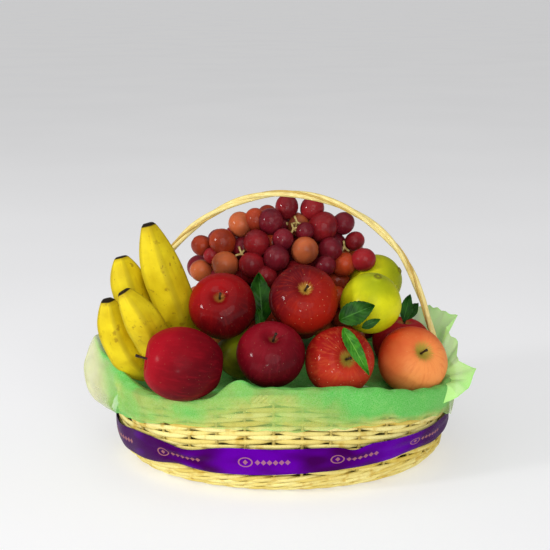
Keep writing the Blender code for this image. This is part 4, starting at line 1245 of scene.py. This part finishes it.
def leaf(name, base, tip, width, curl, material):
    """A pointed leaf: its half width is a bent sine from base to tip, folded at the midrib, edge waved."""
    start, end = seen(*base), seen(*tip)
    along = end - start
    length = np.linalg.norm(along)
    across = unit(np.cross(along, AWAY))
    face = unit(np.cross(across, along))
    rows, columns = 40, 17
    share = np.linspace(0, 1, rows)[:, None]
    side = np.linspace(-1, 1, columns)[None]
    half = 0.5 * width * (np.sin(PI * share**0.75) ** 0.9 + 0.03)
    teeth = 1 + 0.03 * np.sin(60 * share) * np.abs(side) ** 4
    bow = curl * length * np.sin(PI * share)
    lift = 0.10 * width * np.sin(9 * share + np.sign(side)) * np.abs(side) ** 1.5
    lift = lift + 0.16 * width * np.abs(side)
    points = (start + along * share[..., None] + across * (side * half * teeth)[..., None]
              - face * (bow + lift)[..., None])
    made = put(f"{name}_blade", points.reshape(-1, 3), [grid_faces(rows, columns, wrap_columns=False)],
               material, blade=stacked(share, side, 0.0).reshape(-1, 3))
    thick = made.modifiers.new("thickness", "SOLIDIFY")
    thick.thickness = 0.0006
    thick.offset = 0.0
    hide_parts(name)
    return made


# The scene

def lights_and_camera():
    """Round lamps, the pale light of the room, and the camera."""
    for name, at, size, power, aim in LAMPS:
        lamp = bpy.data.lights.new(name, "AREA")
        lamp.shape = "DISK"
        lamp.size = size
        lamp.energy = power
        made = bpy.data.objects.new(name, lamp)
        made.location = at
        made.rotation_euler = (Vector((0, 0, aim)) - Vector(at)).to_track_quat("-Z", "Y").to_euler()
        bpy.context.scene.collection.objects.link(made)
    world = bpy.data.worlds.new("studio")
    world.use_nodes = True
    world.node_tree.nodes["Background"].inputs["Color"].default_value = linear("#F4F4F6")
    world.node_tree.nodes["Background"].inputs["Strength"].default_value = 0.30
    bpy.context.scene.world = world
    bpy.context.scene.view_settings.view_transform = "Standard"
    camera = bpy.data.cameras.new("camera")
    camera.lens = CAMERA_LENS
    camera.sensor_width = 36.0
    camera.clip_start = 0.05
    stand = bpy.data.objects.new("camera", camera)
    stand.location = CAMERA_AT
    stand.rotation_euler = (PI / 2 - CAMERA_DROP, 0.0, CAMERA_LEFT)
    bpy.context.scene.collection.objects.link(stand)
    bpy.context.scene.camera = stand


def floor():
    """A wide flat floor, a single sheet."""
    x, y = np.meshgrid(np.linspace(-40, 40, 9), np.linspace(-20, 80, 11), indexing="ij")
    points = np.stack([x, y, np.zeros_like(x)], -1).reshape(-1, 3)
    mesh = bpy.data.meshes.new("floor")
    mesh.from_pydata(points.tolist(), [], grid_faces(9, 11, wrap_columns=False)[:, ::-1].tolist())
    mesh.materials.append(floor_finish())
    made = bpy.data.objects.new("floor", mesh)
    bpy.context.scene.collection.objects.link(made)


def build():
    """Make every piece with its finish, and hide the solid that each stands for."""
    lights_and_camera()
    floor()

    willow = willow_finish()
    for rods in (wicker(willow), woven_foot(willow)):
        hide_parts("basket")

    # The thin cane's darker finish is painted shade for the groove between the two thick canes
    for cane in handle_canes(cane_finish("peeled_cane", "#F0E29C", "#D4B658"),
                             cane_finish("cane_painted_shade", "#D8B85E", "#A8843C")):
        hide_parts("handle")

    band = satin_band(satin_finish())
    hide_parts("ribbon")

    net = tulle_finish("green_tulle", "#AAC65E", "#50B442", 0.27)
    # The flap at the right is drawn paler and brighter: painted light, for the light passing through it
    net_painted_light = tulle_finish("tulle_painted_light", "#C8FA92", "#A0EC6C", 0.80)
    for cloth in (tulle_collar(net), tulle_bed(net), tulle_frill(net_painted_light)):
        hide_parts("liner")

    stem_wood = stalk_finish("apple_stem", "#3E2814", "#1C120A")
    for seed, (name, (at, radius, way, squat, stem_long, deep)) in enumerate(APPLES.items()):
        apple(name, seen(*at), radius, pointing(way), squat, stem_long, pointing(deep),
              apple_finish(*APPLE_SKINS[name]), stem_wood, seed + 1)

    guava_look = guava_finish("guava_ripe", "#B4B60C", "#CECC14")
    # The guava below the others has darker colours: painted shade from the fruit round it
    shaded_guava_look = guava_finish("guava_painted_shade", "#4A4A0C", "#62600E")
    crown_wood = stalk_finish("guava_crown", "#8A7A2A", "#5A4A1C")
    for seed, (name, (at, radius, way)) in enumerate(GUAVAS.items()):
        guava(name, seen(*at), radius, pointing(way), guava_look, crown_wood, seed + 1)
    at, radius, way = GUAVA_BELOW
    guava("guava_below", at, radius, pointing(way), shaded_guava_look, crown_wood, 5)

    peel = banana_finish()
    for name, (places, radius) in BANANAS.items():
        banana(name, places, radius, peel)

    bunch(grape_finish(), stalk_finish("grape_stalk", "#C4B070", "#94783E"))

    leaf_looks = {
        "leaf_long": leaf_finish("leaf_bright", "#3E8418", "#246010", "#7CB048"),
        "leaf_spiky_tall": leaf_finish("leaf_dark", "#1E5010", "#0E300A", "#3E7A28"),
    }
    leaf_looks["leaf_spiky_side"] = leaf_looks["leaf_spiky_tall"]
    plain_leaf = leaf_finish("leaf_green", "#26580E", "#123A08", "#46802A")
    for name, (base, tip, width, curl) in LEAVES.items():
        leaf(name, base, tip, width, curl, leaf_looks.get(name, plain_leaf))


build()
